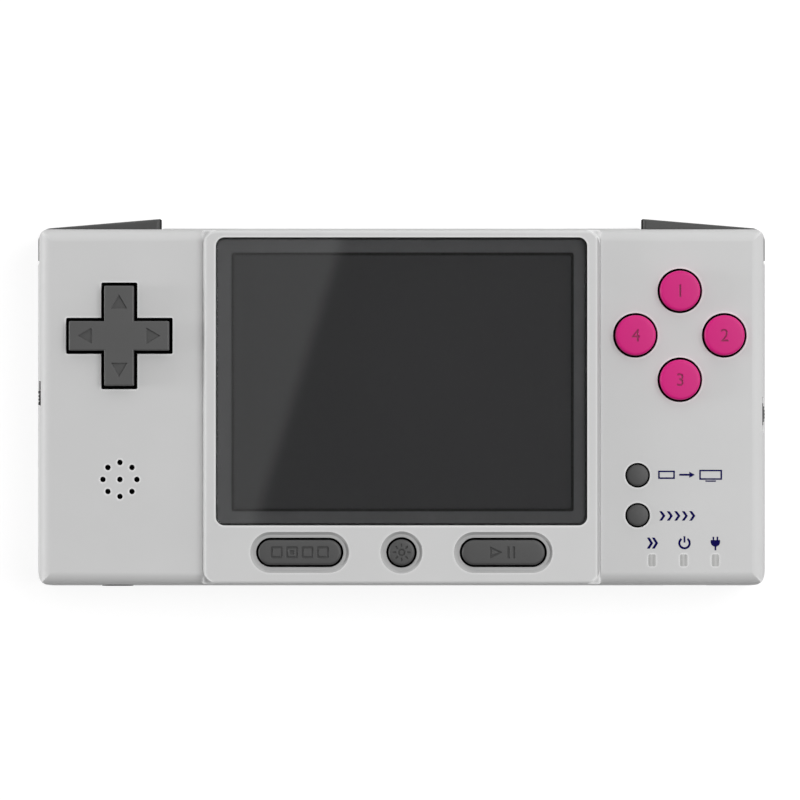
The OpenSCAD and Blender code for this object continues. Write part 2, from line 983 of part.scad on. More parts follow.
module brightness_button() {
    color("dimgray")
        translate([0, -menu_y, 0]) {
            translate([0, 0, block_in - fit_gap - flange_t])
                round_cap(bright_d / 2, menu_top - block_in + fit_gap + flange_t, 0.4);
            translate([0, 0, block_in - fit_gap - flange_t])
                cylinder(r = bright_d / 2 + flange_out, h = flange_t);
            translate([0, 0, press_z])
                cylinder(r = 1.6, h = block_in - press_z - flange_t);
        }
}

module small_button(i) {
    color("dimgray")
        translate([small_x, -small_y - i * small_pitch, 0]) {
            translate([0, 0, wing_in - fit_gap - flange_t])
                round_cap(small_d / 2, wing_z + small_rise - wing_in + fit_gap + flange_t, 0.35);
            translate([0, 0, wing_in - fit_gap - flange_t])
                cylinder(r = small_d / 2 + flange_out, h = flange_t);
            translate([0, 0, press_z])
                cylinder(r = 1.4, h = wing_in - press_z - flange_t);
        }
}

module output_button() {
    small_button(0);
}

module turbo_button() {
    small_button(1);
}

// hollow rubber dome standing on the board
module dome(r) {
    rotate_extrude()
        polygon([
            [0, dome_h], [r - 0.6, dome_h], [r, sheet_t], [r, 0], [r - 0.5, 0],
            [r - 0.5, sheet_t], [r - 1, dome_h - 0.6], [0, dome_h - 0.6]
        ]);
}

module membrane_sheet(spots, r) {
    difference() {
        linear_extrude(sheet_t)
            children();
        for (p = spots)
            translate([p[0], p[1], -1])
                cylinder(r = r - 0.25, h = 4);
    }
    for (p = spots)
        translate(p)
            dome(r);
}

module dpad_membrane() {
    spots = [for (d = face_at) [d[0], d[1], 0] * (pad_span / 2 - pad_dome_in)];
    color("whitesmoke")
        translate([-pad_x, pad_y, board_top])
            membrane_sheet(spots, pad_dome_r)
                difference() {
                    circle(r = pad_flange_r - 0.4);
                    circle(r = pad_ball_r + 0.6);
                }
}

module face_membrane() {
    spots = [for (d = face_at) [d[0], d[1], 0] * face_pitch];
    color("whitesmoke")
        translate([face_x, face_y, board_top])
            membrane_sheet(spots, face_dome_r)
                union() {
                    for (p = spots)
                        translate(p)
                            circle(r = face_dome_r + sheet_out);
                    circle(r = face_pitch - 1);
                }
}

module menu_membrane() {
    spots = [for (i = [-1, 0, 1]) [i * pill_x, 0, 0]];
    color("whitesmoke")
        translate([0, -menu_y, board_top])
            membrane_sheet(spots, menu_dome_r)
                rounded_rect(2 * (pill_x + menu_dome_r + sheet_out), 2 * menu_dome_r + sheet_out, sheet_r);
}

module side_membrane() {
    spots = [for (i = [0, 1]) [0, -i * small_pitch, 0]];
    wide = 2 * side_dome_r + sheet_out;
    color("whitesmoke")
        translate([small_x, -small_y, board_top])
            membrane_sheet(spots, side_dome_r)
                translate([0, -small_pitch / 2])
                    rounded_rect(wide, small_pitch + wide, sheet_r);
}

// triggers, drawn for the right hand

function trigger_face_y(x) = corner_y + trigger_corner * cos(trigger_slope)
    + (corner_x + trigger_corner * sin(trigger_slope) - x) * tan(trigger_slope);

// outer outline in plan, drawn in by an inset
function trigger_outline(inset) = concat(
    [
        [trigger_in + inset, trigger_tail],
        [trigger_in + inset, trigger_face_y(trigger_in + inset) - inset / cos(trigger_slope)]
    ],
    [for (i = [0:trigger_steps])
        let (a = (90 - trigger_slope) * (1 - i / trigger_steps))
        [corner_x + (trigger_corner - inset) * cos(a), corner_y + (trigger_corner - inset) * sin(a)]],
    [[trigger_side - inset, trigger_tail]]
);

// solid wedge that wraps the corner, with rounded long edges
module trigger_wedge() {
    turns = [for (k = [-edge_steps:edge_steps]) 90 * k / edge_steps];
    low = [for (t = turns) if (t <= 0) t];
    high = [for (t = turns) if (t >= 0) t];
    layers = concat(
        [for (t = low) [trigger_low + trigger_edge * (1 + sin(t)), trigger_edge * (1 - cos(t))]],
        [for (t = high) [trigger_top - trigger_edge * (1 - sin(t)), trigger_edge * (1 - cos(t))]]
    );
    around = len(trigger_outline(0));
    count = len(layers);
    points = [for (layer = layers, p = trigger_outline(layer[1])) [p[0], p[1], layer[0]]];
    walls = [for (i = [0:count - 2], k = [0:around - 1])
        let (a = i * around + k, b = i * around + (k + 1) % around)
        each [[a, b, b + around], [a, b + around, a + around]]];
    bottom = [for (k = [around - 1:-1:0]) k];
    top = [for (k = [0:around - 1]) (count - 1) * around + k];
    polyhedron(points = points, faces = concat([bottom], walls, [top]));
}

// hollow between the two end plates
module trigger_hollow() {
    start = trigger_in + trigger_wall;
    drop = trigger_wall / cos(trigger_slope);
    translate([0, 0, trigger_low + trigger_web])
        linear_extrude(trigger_h - 2 * trigger_web)
            polygon([
                [start, 0], [start, trigger_face_y(start) - drop],
                [corner_x, trigger_face_y(corner_x) - drop],
                [trigger_side - trigger_wall, corner_y], [trigger_side - trigger_wall, 0]
            ]);
}

// room under the end plates
module trigger_undercut() {
    linear_extrude(far)
        polygon([
            [trigger_in - 1, 0], [trigger_in - 1, body_l / 2 - 1.8], [pivot_x - 9, body_l / 2 - 3.4],
            [pivot_x - 4, trigger_tail + 0.2], [pivot_x - 4, 0]
        ]);
}

module trigger_body() {
    difference() {
        union() {
            difference() {
                trigger_wedge();
                trigger_hollow();
                trigger_undercut();
            }
            translate([pivot_x, pivot_y]) {
                post(trigger_boss_r, trigger_low + 0.5, trigger_low + 2);
                post(trigger_boss_r, trigger_top - 2, trigger_top - 0.5);
            }
            // tang that presses the switch
            block_at(
                switch_x - 0.8, switch_x + 0.8, tang_low, trigger_face_y(switch_x) - 1,
                tang_z - 1.5, tang_z + 1.5
            );
        }
        translate([pivot_x, pivot_y])
            post(pin_r + turn_gap, trigger_low - 1, trigger_top + 1);
    }
}

module right_trigger() {
    color("dimgray")
        trigger_body();
}

module left_trigger() {
    color("dimgray")
        mirror([1, 0, 0])
            trigger_body();
}

module trigger_pin() {
    color("silver")
        translate([pivot_x, pivot_y])
            post(pin_r, pin_low, pin_top);
}

module right_trigger_pin() {
    trigger_pin();
}

module left_trigger_pin() {
    mirror([1, 0, 0])
        trigger_pin();
}

// round wire along a list of points
module wire(path, r, sides) {
    count = len(path);
    ways = [for (i = [0:count - 1]) path[min(i + 1, count - 1)] - path[max(i - 1, 0)]];
    rings = [for (i = [0:count - 1])
        let (side = cross(ways[i], [0, 0, 1]) / norm(cross(ways[i], [0, 0, 1])),
             up = cross(side, ways[i]) / norm(ways[i]))
        for (k = [0:sides - 1])
            path[i] + r * (cos(360 * k / sides) * side + sin(360 * k / sides) * up)];
    walls = [for (i = [0:count - 2], k = [0:sides - 1])
        [i * sides + k, i * sides + (k + 1) % sides, (i + 1) * sides + (k + 1) % sides, (i + 1) * sides + k]];
    first = [for (k = [sides - 1:-1:0]) k];
    last = [for (k = [0:sides - 1]) (count - 1) * sides + k];
    polyhedron(points = rings, faces = concat([first], walls, [last]));
}

module trigger_spring() {
    steps = 12;
    total = spring_turns * steps + steps / 2;
    rise = spring_pitch / steps;
    low = spring_z;
    coil = [for (i = [0:total])
        [pivot_x + spring_r * sin(-360 * i / steps + 180), pivot_y + spring_r * cos(-360 * i / steps + 180),
         low + i * rise]];
    last_z = low + total * rise;
    tip_x = pivot_x - spring_leg;
    skin_y = trigger_face_y(tip_x) - trigger_wall - 0.1 - spring_wire;
    color("silver")
        wire(
            concat([[tip_x - 0.4, notch_low + 0.6, low]], coil, [[tip_x, skin_y, last_z]]),
            spring_wire, 6
        );
}

module right_trigger_spring() {
    trigger_spring();
}

module left_trigger_spring() {
    mirror([1, 0, 0])
        trigger_spring();
}

module trigger_switch() {
    color("black") {
        block_at(switch_x - 2.3, switch_x + 2.3, switch_top - 3.5, switch_top, board_low - 3.5, board_low);
        translate([switch_x, switch_top - 0.5, tang_z])
            rotate([-90, 0, 0])
                cylinder(r = 0.75, h = plunger_l + 0.5);
    }
}

module right_trigger_switch() {
    trigger_switch();
}

module left_trigger_switch() {
    mirror([1, 0, 0])
        trigger_switch();
}

// edge controls

module volume_wheel() {
    color("dimgray")
        translate([wheel_x, -wheel_y, wheel_z])
            difference() {
                cylinder(r = wheel_r, h = wheel_t);
                translate([0, 0, -1])
                    cylinder(r = axle_r + turn_gap, h = wheel_t + 2);
                for (i = [0:wheel_notches - 1])
                    rotate([0, 0, (i + 0.5) * 360 / wheel_notches])
                        translate([wheel_r + wheel_notch_out, 0, -1])
                            cylinder(r = wheel_notch_r, h = wheel_t + 2);
                translate([0, 0, wheel_t - 0.4])
                    difference() {
                        cylinder(r = wheel_r - 1.2, h = 1);
                        cylinder(r = 2.6, h = 1);
                    }
            }
}

module volume_pot() {
    color("sienna")
        translate([wheel_x, -wheel_y, board_top]) {
            translate([-4.6, -4.6, 0])
                cube([8, 9.2, wheel_z - board_top - slide_gap]);
            cylinder(r = axle_r, h = wheel_z - board_top + wheel_t + 0.2);
        }
}

module power_slider() {
    rest = power_y - power_travel / 2;
    color("dimgray")
        difference() {
            block_at(
                -edge_tip, -inner_w / 2 + 3.4, rest - power_l / 2, rest + power_l / 2, knob_z, knob_z + knob_h
            );
            for (s = [-1, 0, 1])
                translate([-edge_tip, rest + s * power_l / 4, knob_z - 1])
                    cylinder(r = 0.2, h = knob_h + 2);
        }
}

module power_switch_body() {
    color("silver")
        difference() {
            block_at(
                -inner_w / 2 + 0.3, -inner_w / 2 + 4.2,
                power_y - power_body_l / 2, power_y + power_body_l / 2, board_top, knob_z + knob_h + 0.8
            );
            block_at(
                -far, -inner_w / 2 + 3.4 + slide_gap, power_y - power_slot / 2, power_y + power_slot / 2,
                knob_z - slide_gap, knob_z + knob_h + slide_gap
            );
        }
}

// board and what it carries

module main_board() {
    color("darkgreen")
        translate([0, 0, board_low])
            linear_extrude(board_t)
                difference() {
                    rounded_rect(inner_w - 2 * board_margin, inner_l - 2 * board_margin, 2);
                    for (p = case_screw_at)
                        translate(p)
                            circle(r = boss_r + 0.3);
                    for (p = board_screw_at)
                        translate(p)
                            circle(r = board_screw_r + seat_gap);
                    for (s = [-1, 1])
                        translate([s * (notch_in - 1.2 + far / 2), switch_top + 0.3 + far / 2])
                            square(far, center = true);
                    translate([speaker_x, speaker_y])
                        circle(r = speaker_r + 0.6);
                    translate([-socket_x - jack_body_w / 2 - 0.2, -far])
                        square([jack_body_w + 0.4, far - jack_end + 0.2]);
                }
}

module processor() {
    color("black")
        translate([0, battery_y, board_low - processor_t])
            linear_extrude(processor_t)
                square(processor_w, center = true);
}

module memory_chips() {
    color("black")
        for (s = [-1, 1])
            translate([s * memory_x, battery_y, board_low - memory_t])
                linear_extrude(memory_t)
                    square([memory_w, memory_l], center = true);
}

module crystal() {
    color("silver")
        translate([tray_w / 2 - crystal_in, lens_y + crystal_up, board_top])
            linear_extrude(crystal_h)
                pill_plan(crystal_w, crystal_l);
}

module board_capacitors() {
    color("slategray")
        for (middle = [[-pad_x, pad_y], [face_x, face_y]], s = [-1, 1])
            translate(middle + [s * capacitor_out, -capacitor_drop])
                post(capacitor_r, board_low - capacitor_h, board_low);
}

module lcd_holder() {
    color("white")
        translate([0, lens_y, board_top])
            linear_extrude(tray_low - board_top)
                difference() {
                    rounded_rect(tray_w + 2 * holder_side, tray_l + 2 * holder_end, 1);
                    rounded_rect(tray_w - 2 * holder_rim, tray_l - 2 * holder_rim, 1);
                }
}

module lcd_frame() {
    color("silver")
        translate([0, lens_y, tray_low])
            difference() {
                linear_extrude(tray_top - tray_low)
                    rounded_rect(tray_w, tray_l, 0.8);
                translate([0, 0, panel_low - tray_low])
                    linear_extrude(far)
                        square([tray_w - 2 * tray_wall, tray_l - 2 * tray_wall], center = true);
            }
}

module lcd_panel() {
    color("black")
        translate([0, lens_y, panel_low])
            linear_extrude(panel_top - panel_low)
                square([tray_w - 2 * tray_wall - fit_gap, tray_l - 2 * tray_wall - fit_gap], center = true);
}

module lcd_flex() {
    low = board_top + connector_h / 2;
    color("peru")
        translate([-flex_w / 2, lens_y - connector_drop - connector_l / 2 - 3, 0])
            rotate([90, 0, 90])
                linear_extrude(flex_w)
                    polygon([
                        [-6, tray_low], [-6, tray_low - flex_t], [-2, tray_low - flex_t], [1, low], [3, low],
                        [3, low + flex_t], [1.1, low + flex_t], [-1.9, tray_low]
                    ]);
}

module lcd_connector() {
    color("ivory")
        translate([0, lens_y - connector_drop, board_top])
            linear_extrude(connector_h)
                square([connector_w, connector_l], center = true);
}

module indicator_leds() {
    color("white")
        for (x = lamp_x)
            block_at(x - 0.8, x + 0.8, lamp_y - 0.6, lamp_y + 0.6, board_top, board_top + 0.8);
}

// speaker

module speaker_frame() {
    inner = speaker_r - speaker_rim;
    color("dimgray")
        translate([speaker_x, speaker_y, 0])
            difference() {
                post(speaker_r, speaker_low, speaker_top);
                post(inner - speaker_lip, speaker_low + speaker_lip, speaker_top + 1);
                post(inner, cone_z, speaker_top + 1);
            }
}

module speaker_cone() {
    color("black")
        translate([speaker_x, speaker_y, cone_z])
            rotate_extrude()
                polygon([
                    [0, -0.5], [2.2, -0.9], [4.8, 0], [6.2, 0], [6.2, 0.3], [4.7, 0.3], [2.2, -0.6], [0, -0.2]
                ]);
}

module speaker_magnet() {
    color("silver")
        translate([speaker_x, speaker_y])
            post(magnet_r, speaker_low - magnet_h, speaker_low);
}

module speaker_gasket() {
    color("black")
        translate([speaker_x, speaker_y])
            difference() {
                post(speaker_r, speaker_top, wing_in);
                post(speaker_r - speaker_rim, speaker_top - 1, wing_in + 1);
            }
}

// game card bay

module cartridge_connector() {
    color("black")
        difference() {
            block_at(-comb_w / 2, comb_w / 2, bay_low + 0.1, bay_low + comb_l, comb_z, board_low);
            block_at(
                -mouth_w / 2, mouth_w / 2, bay_low + comb_l - mouth_l, far, mouth_z, mouth_z + mouth_h
            );
        }
}

module cartridge_contacts() {
    pitch = (mouth_w - 2) / pin_count;
    color("gold")
        for (i = [0:pin_count - 1])
            translate([(i - (pin_count - 1) / 2) * pitch, 0, 0])
                block_at(
                    -0.3, 0.3, bay_low + comb_l - mouth_l, bay_low + comb_l - 0.4,
                    mouth_z + mouth_h - 0.4, mouth_z + mouth_h
                );
}

// battery

module battery() {
    color("slategray")
        translate([0, battery_y, cover_inset + cover_t + 0.15])
            linear_extrude(battery_t)
                rounded_rect(battery_w, battery_l, 1.2);
}

module battery_contact_block() {
    color("black")
        block_at(
            pocket_w / 2 + 0.6, pocket_w / 2 + 4, contact_y - 4, contact_y + 4, seat_t + 0.8, board_low
        );
}

module battery_contacts() {
    reach = pocket_w / 2 + 0.6;
    touch = battery_w / 2 + 0.05;
    color("gold")
        for (i = [-1, 0, 1])
            translate([0, contact_y + i * 2.4 - 0.5, 0])
                rotate([90, 0, 0])
                    mirror([0, 0, 1])
                        linear_extrude(1)
                            polygon([
                                [reach, seat_t + 1.2], [touch, seat_t + 2], [touch, seat_t + 2.6],
                                [reach, seat_t + 3.4], [reach, seat_t + 2.9], [touch + 0.4, seat_t + 2.3],
                                [reach, seat_t + 1.7]
                            ]);
}

// bottom sockets

module av_jack() {
    edge = body_l / 2;
    color("black")
        difference() {
            union() {
                translate([-socket_x, jack_face_l - edge, jack_z])
                    rotate([90, 0, 0])
                        linear_extrude(jack_face_l)
                            jack_plan(0);
                block_at(
                    -socket_x - jack_body_w / 2, -socket_x + jack_body_w / 2, -inner_l / 2 + 0.2, -jack_end,
                    jack_z - jack_body_h / 2, jack_z + jack_body_h / 2
                );
            }
            translate([-socket_x, -edge - 1, jack_z])
                rotate([-90, 0, 0])
                    cylinder(r = jack_r, h = jack_bore_l + 1);
        }
}

module usb_socket() {
    mouth = -body_l / 2 + 0.2;
    color("silver")
        difference() {
            block_at(
                socket_x - usb_w / 2, socket_x + usb_w / 2, mouth, mouth + usb_l, board_low - usb_h, board_low
            );
            block_at(
                socket_x - usb_w / 2 + usb_wall, socket_x + usb_w / 2 - usb_wall, mouth - 1,
                mouth + usb_l - 0.6, board_low - usb_h + usb_wall, board_low - usb_wall
            );
        }
}

module usb_tongue() {
    mouth = -body_l / 2 + 0.2;
    mid = board_low - usb_h / 2;
    color("black")
        block_at(
            socket_x - 2.4, socket_x + 2.4, mouth + 1.4, mouth + usb_l - 0.6, mid - 0.3, mid + 0.6
        );
}

// screws

module cross_slot(r, depth) {
    for (a = [0, 90])
        rotate([0, 0, a])
            translate([0, 0, depth / 2 - eps])
                cube([1.3 * r, 0.5, depth], center = true);
}

module case_screws() {
    color("silver")
        for (p = case_screw_at)
            translate([p[0], p[1], head_seat - head_t])
                difference() {
                    union() {
                        cylinder(r = head_r, h = head_t);
                        cylinder(r = screw_r, h = screw_top - head_seat + head_t);
                    }
                    cross_slot(head_r, 0.8);
                }
}

module board_screws() {
    color("silver")
        for (p = board_screw_at)
            translate([p[0], p[1], board_low - board_head_t])
                difference() {
                    union() {
                        cylinder(r = board_head_r, h = board_head_t);
                        cylinder(r = board_screw_r, h = board_head_t + board_t + board_screw_l);
                    }
                    cross_slot(board_head_r, 0.5);
                }
}

module cover_screws() {
    color("silver")
        for (s = [-1, 1])
            translate([s * ear_x, battery_y, cover_inset])
                difference() {
                    union() {
                        cylinder(r = cover_head_r, h = cover_head_t);
                        cylinder(r = screw_r, h = pocket_top - 1.6);
                    }
                    cross_slot(cover_head_r, 0.5);
                }
}

front_shell();
rear_shell();
battery_cover();
screen_lens();
lens_border();
led_windows();
dpad();
dpad_pivot();
face_button_top();
face_button_left();
face_button_right();
face_button_bottom();
select_button();
start_button();
brightness_button();
output_button();
turbo_button();
dpad_membrane();
face_membrane();
menu_membrane();
side_membrane();
left_trigger();
right_trigger();
left_trigger_pin();
right_trigger_pin();
left_trigger_spring();
right_trigger_spring();
left_trigger_switch();
right_trigger_switch();
volume_wheel();
volume_pot();
power_slider();
power_switch_body();
main_board();
processor();
memory_chips();
crystal();
board_capacitors();
lcd_panel();
lcd_frame();
lcd_holder();
lcd_flex();
lcd_connector();
speaker_frame();
speaker_cone();
speaker_magnet();
speaker_gasket();
cartridge_connector();
cartridge_contacts();
battery();
battery_contact_block();
battery_contacts();
av_jack();
usb_socket();
usb_tongue();
indicator_leds();
case_screws();
board_screws();
cover_screws();
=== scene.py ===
"""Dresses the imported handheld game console: finishes for its solids, and finer pieces over some of them."""

import json
import logging
import math
from abc import ABC, abstractmethod
from dataclasses import dataclass
from enum import Enum
from typing import Any, ClassVar, Iterable, Optional, Sequence

import bmesh
import bpy
from mathutils import Matrix, Vector

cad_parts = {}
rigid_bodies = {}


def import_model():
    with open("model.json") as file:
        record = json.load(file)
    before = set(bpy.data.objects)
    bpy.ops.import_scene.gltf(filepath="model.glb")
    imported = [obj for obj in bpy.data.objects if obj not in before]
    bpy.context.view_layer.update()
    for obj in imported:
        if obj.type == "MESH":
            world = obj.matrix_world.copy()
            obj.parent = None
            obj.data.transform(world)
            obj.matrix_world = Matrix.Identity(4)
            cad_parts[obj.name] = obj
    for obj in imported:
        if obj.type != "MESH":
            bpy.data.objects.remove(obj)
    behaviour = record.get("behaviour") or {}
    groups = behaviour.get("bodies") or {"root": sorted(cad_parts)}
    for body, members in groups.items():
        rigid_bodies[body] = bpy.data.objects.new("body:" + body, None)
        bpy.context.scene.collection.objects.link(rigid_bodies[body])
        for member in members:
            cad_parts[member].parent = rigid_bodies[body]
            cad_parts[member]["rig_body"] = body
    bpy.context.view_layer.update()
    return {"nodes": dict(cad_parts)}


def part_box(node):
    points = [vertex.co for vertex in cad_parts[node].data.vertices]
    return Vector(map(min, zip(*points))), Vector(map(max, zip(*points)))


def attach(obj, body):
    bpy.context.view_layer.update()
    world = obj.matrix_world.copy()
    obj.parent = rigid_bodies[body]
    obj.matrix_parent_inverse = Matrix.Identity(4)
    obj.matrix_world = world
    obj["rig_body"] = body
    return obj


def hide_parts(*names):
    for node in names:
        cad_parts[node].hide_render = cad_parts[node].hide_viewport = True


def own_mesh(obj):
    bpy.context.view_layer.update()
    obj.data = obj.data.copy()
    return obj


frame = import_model()

MM = 0.001
SHARP = math.radians(35)
CAP_SHARE = 0.73
LOG = logging.getLogger("console")

Colour = tuple[float, float, float]
Point = tuple[float, float]
Ring = list[Vector]
Outline = Sequence[Point]
Mesh = bmesh.types.BMesh
Thing = bpy.types.Object
Socket = bpy.types.NodeSocket
Material = bpy.types.Material


def on_screen(red: int, green: int, blue: int) -> Colour:
    """Linear colour, from 0 to 1, of channels from 0 to 255 as a screen shows them."""
    shares = [channel / 255 for channel in (red, green, blue)]
    return tuple(s / 12.92 if s <= 0.04045 else ((s + 0.055) / 1.055) ** 2.4 for s in shares)


def toned(colour: Colour, level: float) -> tuple[float, float, float, float]:
    """A colour made lighter or darker by a factor, with its alpha."""
    return tuple(min(1.0, channel * level) for channel in colour) + (1.0,)


class Nodes:
    """Shader nodes of a material or of the sky."""

    def __init__(self, owner: bpy.types.ID) -> None:
        """Opens the nodes of their owner.

        Args:
            owner: the material or the sky.
        """
        owner.use_nodes = True
        self.nodes, self.links = owner.node_tree.nodes, owner.node_tree.links

    def feed(self, socket: Socket, value: Any) -> None:
        """Links a socket to another one, or sets its value.

        Args:
            socket: the input to fill.
            value: an output socket, or a plain value.
        """
        if isinstance(value, Socket):
            self.links.new(value, socket)
        else:
            socket.default_value = value

    def put(self, kind: str, inputs: Optional[dict] = None, **settings: Any) -> bpy.types.Node:
        """Adds one node.

        Args:
            kind: node type without its ShaderNode prefix.
            inputs: values or sockets by the input's name or number.
            settings: the node's own properties.

        Returns:
            The new node.
        """
        node = self.nodes.new("ShaderNode" + kind)
        for key, value in settings.items():
            setattr(node, key, value)
        for key, value in (inputs or {}).items():
            self.feed(node.inputs[key], value)
        return node


class Tree(Nodes):
    """Nodes of one finish, grown from its Principled shader."""

    def __init__(self, name: str) -> None:
        """Starts a material that has the Principled shader alone.

        Args:
            name: name of the material.
        """
        self.material = bpy.data.materials.new(name)
        super().__init__(self.material)
        self.shader, self.output = self.nodes["Principled BSDF"], self.nodes["Material Output"]

    def show(self, shader: Socket) -> Material:
        """Sends a shader to the material's surface, and gives the material."""
        self.links.new(shader, self.output.inputs["Surface"])
        return self.material

    def dress(self, **inputs: Any) -> Material:
        """Fills the Principled shader's inputs, with spaces in their names written as underscores.

        Args:
            inputs: values or sockets by input.

        Returns:
            The finished material.
        """
        for key, value in inputs.items():
            self.feed(self.shader.inputs[key.replace("_", " ")], value)
        return self.material

    def place(self, size: Sequence[float]) -> Socket:
        """The piece's own coordinates, scaled so that one unit is a given length.

        Args:
            size: length of a unit along X, Y and Z, in mm.

        Returns:
            A vector socket.
        """
        own = self.put("TexCoord").outputs["Object"]
        scale = [1 / (MM * length) for length in size]
        return self.put("Mapping", {"Vector": own, "Scale": scale}).outputs["Vector"]

    def noise(self, size: Sequence[float], detail: float = 2.0) -> Socket:
        """Cloudy noise from 0 to 1, by the size of its clouds in mm and the number of finer layers."""
        cloud = self.put("TexNoise", {"Vector": self.place(size), "Scale": 1.0, "Detail": detail})
        return cloud.outputs[0]

    def span(self, value: Socket, low: float, high: float, start: float = 0.0, end: float = 1.0) -> Socket:
        """Maps start to end onto low to high, and holds the ends."""
        limits = {"Value": value, "From Min": start, "From Max": end, "To Min": low, "To Max": high}
        return self.put("MapRange", limits).outputs["Result"]

    def blend(self, share: Socket, first: Any, second: Any) -> Socket:
        """Mixes two colours or their sockets: a share of 0 gives the first, 1 the second."""
        return self.put("Mix", {0: share, 6: first, 7: second}, data_type="RGBA").outputs[2]

    def bump(self, height: Socket, depth: float, under: Optional[Socket] = None) -> Socket:
        """Relief from a height.

        Args:
            height: socket from 0 to 1.
            depth: height of 1, in mm.
            under: normal that the relief is laid on.

        Returns:
            The bent normal.
        """
        inputs = {"Height": height, "Distance": depth * MM, "Strength": 1.0}
        if under is not None:
            inputs["Normal"] = under
        return self.put("Bump", inputs).outputs["Normal"]

    def edges(self, radius: float) -> tuple[Socket, Socket]:
        """Softens sharp edges and finds them.

        Args:
            radius: radius that the edges get, in mm.

        Returns:
            The softened normal, and a mask that is 1 on an edge.
        """
        soft = self.put("Bevel", {"Radius": radius * MM}, samples=4).outputs["Normal"]
        flat = self.put("NewGeometry").outputs["Normal"]
        both = self.put("VectorMath", {0: soft, 1: flat}, operation="DOT_PRODUCT").outputs["Value"]
        return soft, self.span(both, 1.0, 0.0, 0.8, 0.99)


@dataclass(frozen=True)
class Finish(ABC):
    """One finish of the console, with the material that shows it."""

    name: str
    colour: Colour
    made: ClassVar[dict["Finish", Material]] = {}

    @abstractmethod
    def build(self) -> Material:
        """Builds the finish's material."""

    def material(self) -> Material:
        """The finish's material, built the first time that it is asked for."""
        if self not in Finish.made:
            Finish.made[self] = self.build()
        return Finish.made[self]


@dataclass(frozen=True)
class Moulded(Finish):
    """Moulded plastic: eroded grain, faint flow clouds, edges a little lighter, as worn edges and as a
    painted highlight, which is wide and strong on the case.
    """

    roughness: float = 0.5
    grain: float = 0.3
    depth: float = 0.004
    cloud: float = 14.0
    mottle: float = 0.02
    edge: float = 0.2
    # How much lighter the edges go: wear, and on the case a painted highlight
    wear_and_highlight: float = 0.12
    highlight_width: float = 0.0
    gloss: float = 0.5
    swing: float = 0.08
    wear_and_highlight_tone: float = 1.6

    def build(self) -> Material:
        """Builds the plastic's material."""
        tree = Tree(self.name)
        soft, worn = tree.edges(self.edge)
        if self.highlight_width:
            worn = tree.edges(self.highlight_width)[1]
        grain = tree.noise([self.grain] * 3)
        cloud = tree.span(tree.noise([self.cloud] * 3, 3.0), 0.0, 1.0, 0.35, 0.65)
        body = tree.blend(cloud, toned(self.colour, 1 - self.mottle), toned(self.colour, 1 + self.mottle))
        # Lighter edges: worn edges, and a painted highlight where the share is large
        wear_and_highlight = tree.blend(tree.span(worn, 0.0, self.wear_and_highlight), body, toned(self.colour, self.wear_and_highlight_tone))
        return tree.dress(
            Base_Color=wear_and_highlight,
            Specular_IOR_Level=self.gloss,
            Roughness=tree.span(grain, self.roughness + self.swing, self.roughness - self.swing, 0.3, 0.7),
            Normal=tree.bump(grain, self.depth, soft),
        )


@dataclass(frozen=True)
class Metal(Finish):
    """Stamped or plated metal with a drawn grain and dull patches."""

    roughness: float = 0.32
    drawn: Sequence[float] = (3.0, 0.12, 3.0)
    depth: float = 0.002

    def build(self) -> Material:
        """Builds the metal's material."""
        tree = Tree(self.name)
        soft, worn = tree.edges(0.12)
        lines = tree.noise(self.drawn, 3.0)
        patch = tree.noise([5.0] * 3, 3.0)
        body = tree.blend(patch, toned(self.colour, 0.86), toned(self.colour, 1.05))
        return tree.dress(
            Base_Color=tree.blend(tree.span(worn, 0.0, 0.4), body, toned(self.colour, 1.3)),
            Metallic=1.0,
            Roughness=tree.span(lines, self.roughness - 0.08, self.roughness + 0.1, 0.3, 0.7),
            Normal=tree.bump(lines, self.depth, soft),
        )


class Pore(Enum):
    """How a soft piece's skin looks close up."""

    CLOSED = 0.25
    OPEN = 0.6


@dataclass(frozen=True)
class Soft(Finish):
    """Silicone rubber, foam or pressed paper: matt, with pores or fibres in its skin."""

    pore: Pore = Pore.CLOSED
    depth: float = 0.02
    milky: float = 0.0
    gloss: float = 0.5

    def build(self) -> Material:
        """Builds the soft piece's material."""
        tree = Tree(self.name)
        cell = tree.put("TexVoronoi", {"Vector": tree.place([self.pore.value] * 3), "Scale": 1.0})
        hole = cell.outputs["Distance"]
        cloud = tree.noise([4.0] * 3, 3.0)
        skin = tree.blend(cloud, toned(self.colour, 0.9), toned(self.colour, 1.06))
        return tree.dress(
            Base_Color=tree.blend(tree.span(hole, 0.35, 0.0, 0.0, 0.35), skin, toned(self.colour, 0.55)),
            Roughness=tree.span(hole, 0.95, 0.75),
            Specular_IOR_Level=self.gloss,
            Subsurface_Weight=self.milky,
            Subsurface_Scale=0.4 * MM,
            Normal=tree.bump(hole, self.depth),
        )


@dataclass(frozen=True)
class Ink(Finish):
    """Printed ink: a thin even coat with a few pinholes and a slight gloss."""

    roughness: float = 0.45
    worn: Colour = (0.5, 0.5, 0.52)
    gloss: float = 0.3

    def build(self) -> Material:
        """Builds the ink's material."""
        tree = Tree(self.name)
        dots = tree.noise([0.12] * 3, 1.0)
        coat = tree.noise([1.6] * 3, 2.0)
        even = tree.blend(coat, toned(self.colour, 0.9), toned(self.colour, 1.12))
        return tree.dress(
            Base_Color=tree.blend(tree.span(dots, 0.0, 0.3, 0.7, 0.85), even, toned(self.worn, 1.0)),
            Specular_IOR_Level=self.gloss,
            Roughness=tree.span(coat, self.roughness - 0.05, self.roughness + 0.08),
            Normal=tree.bump(dots, 0.002),
        )


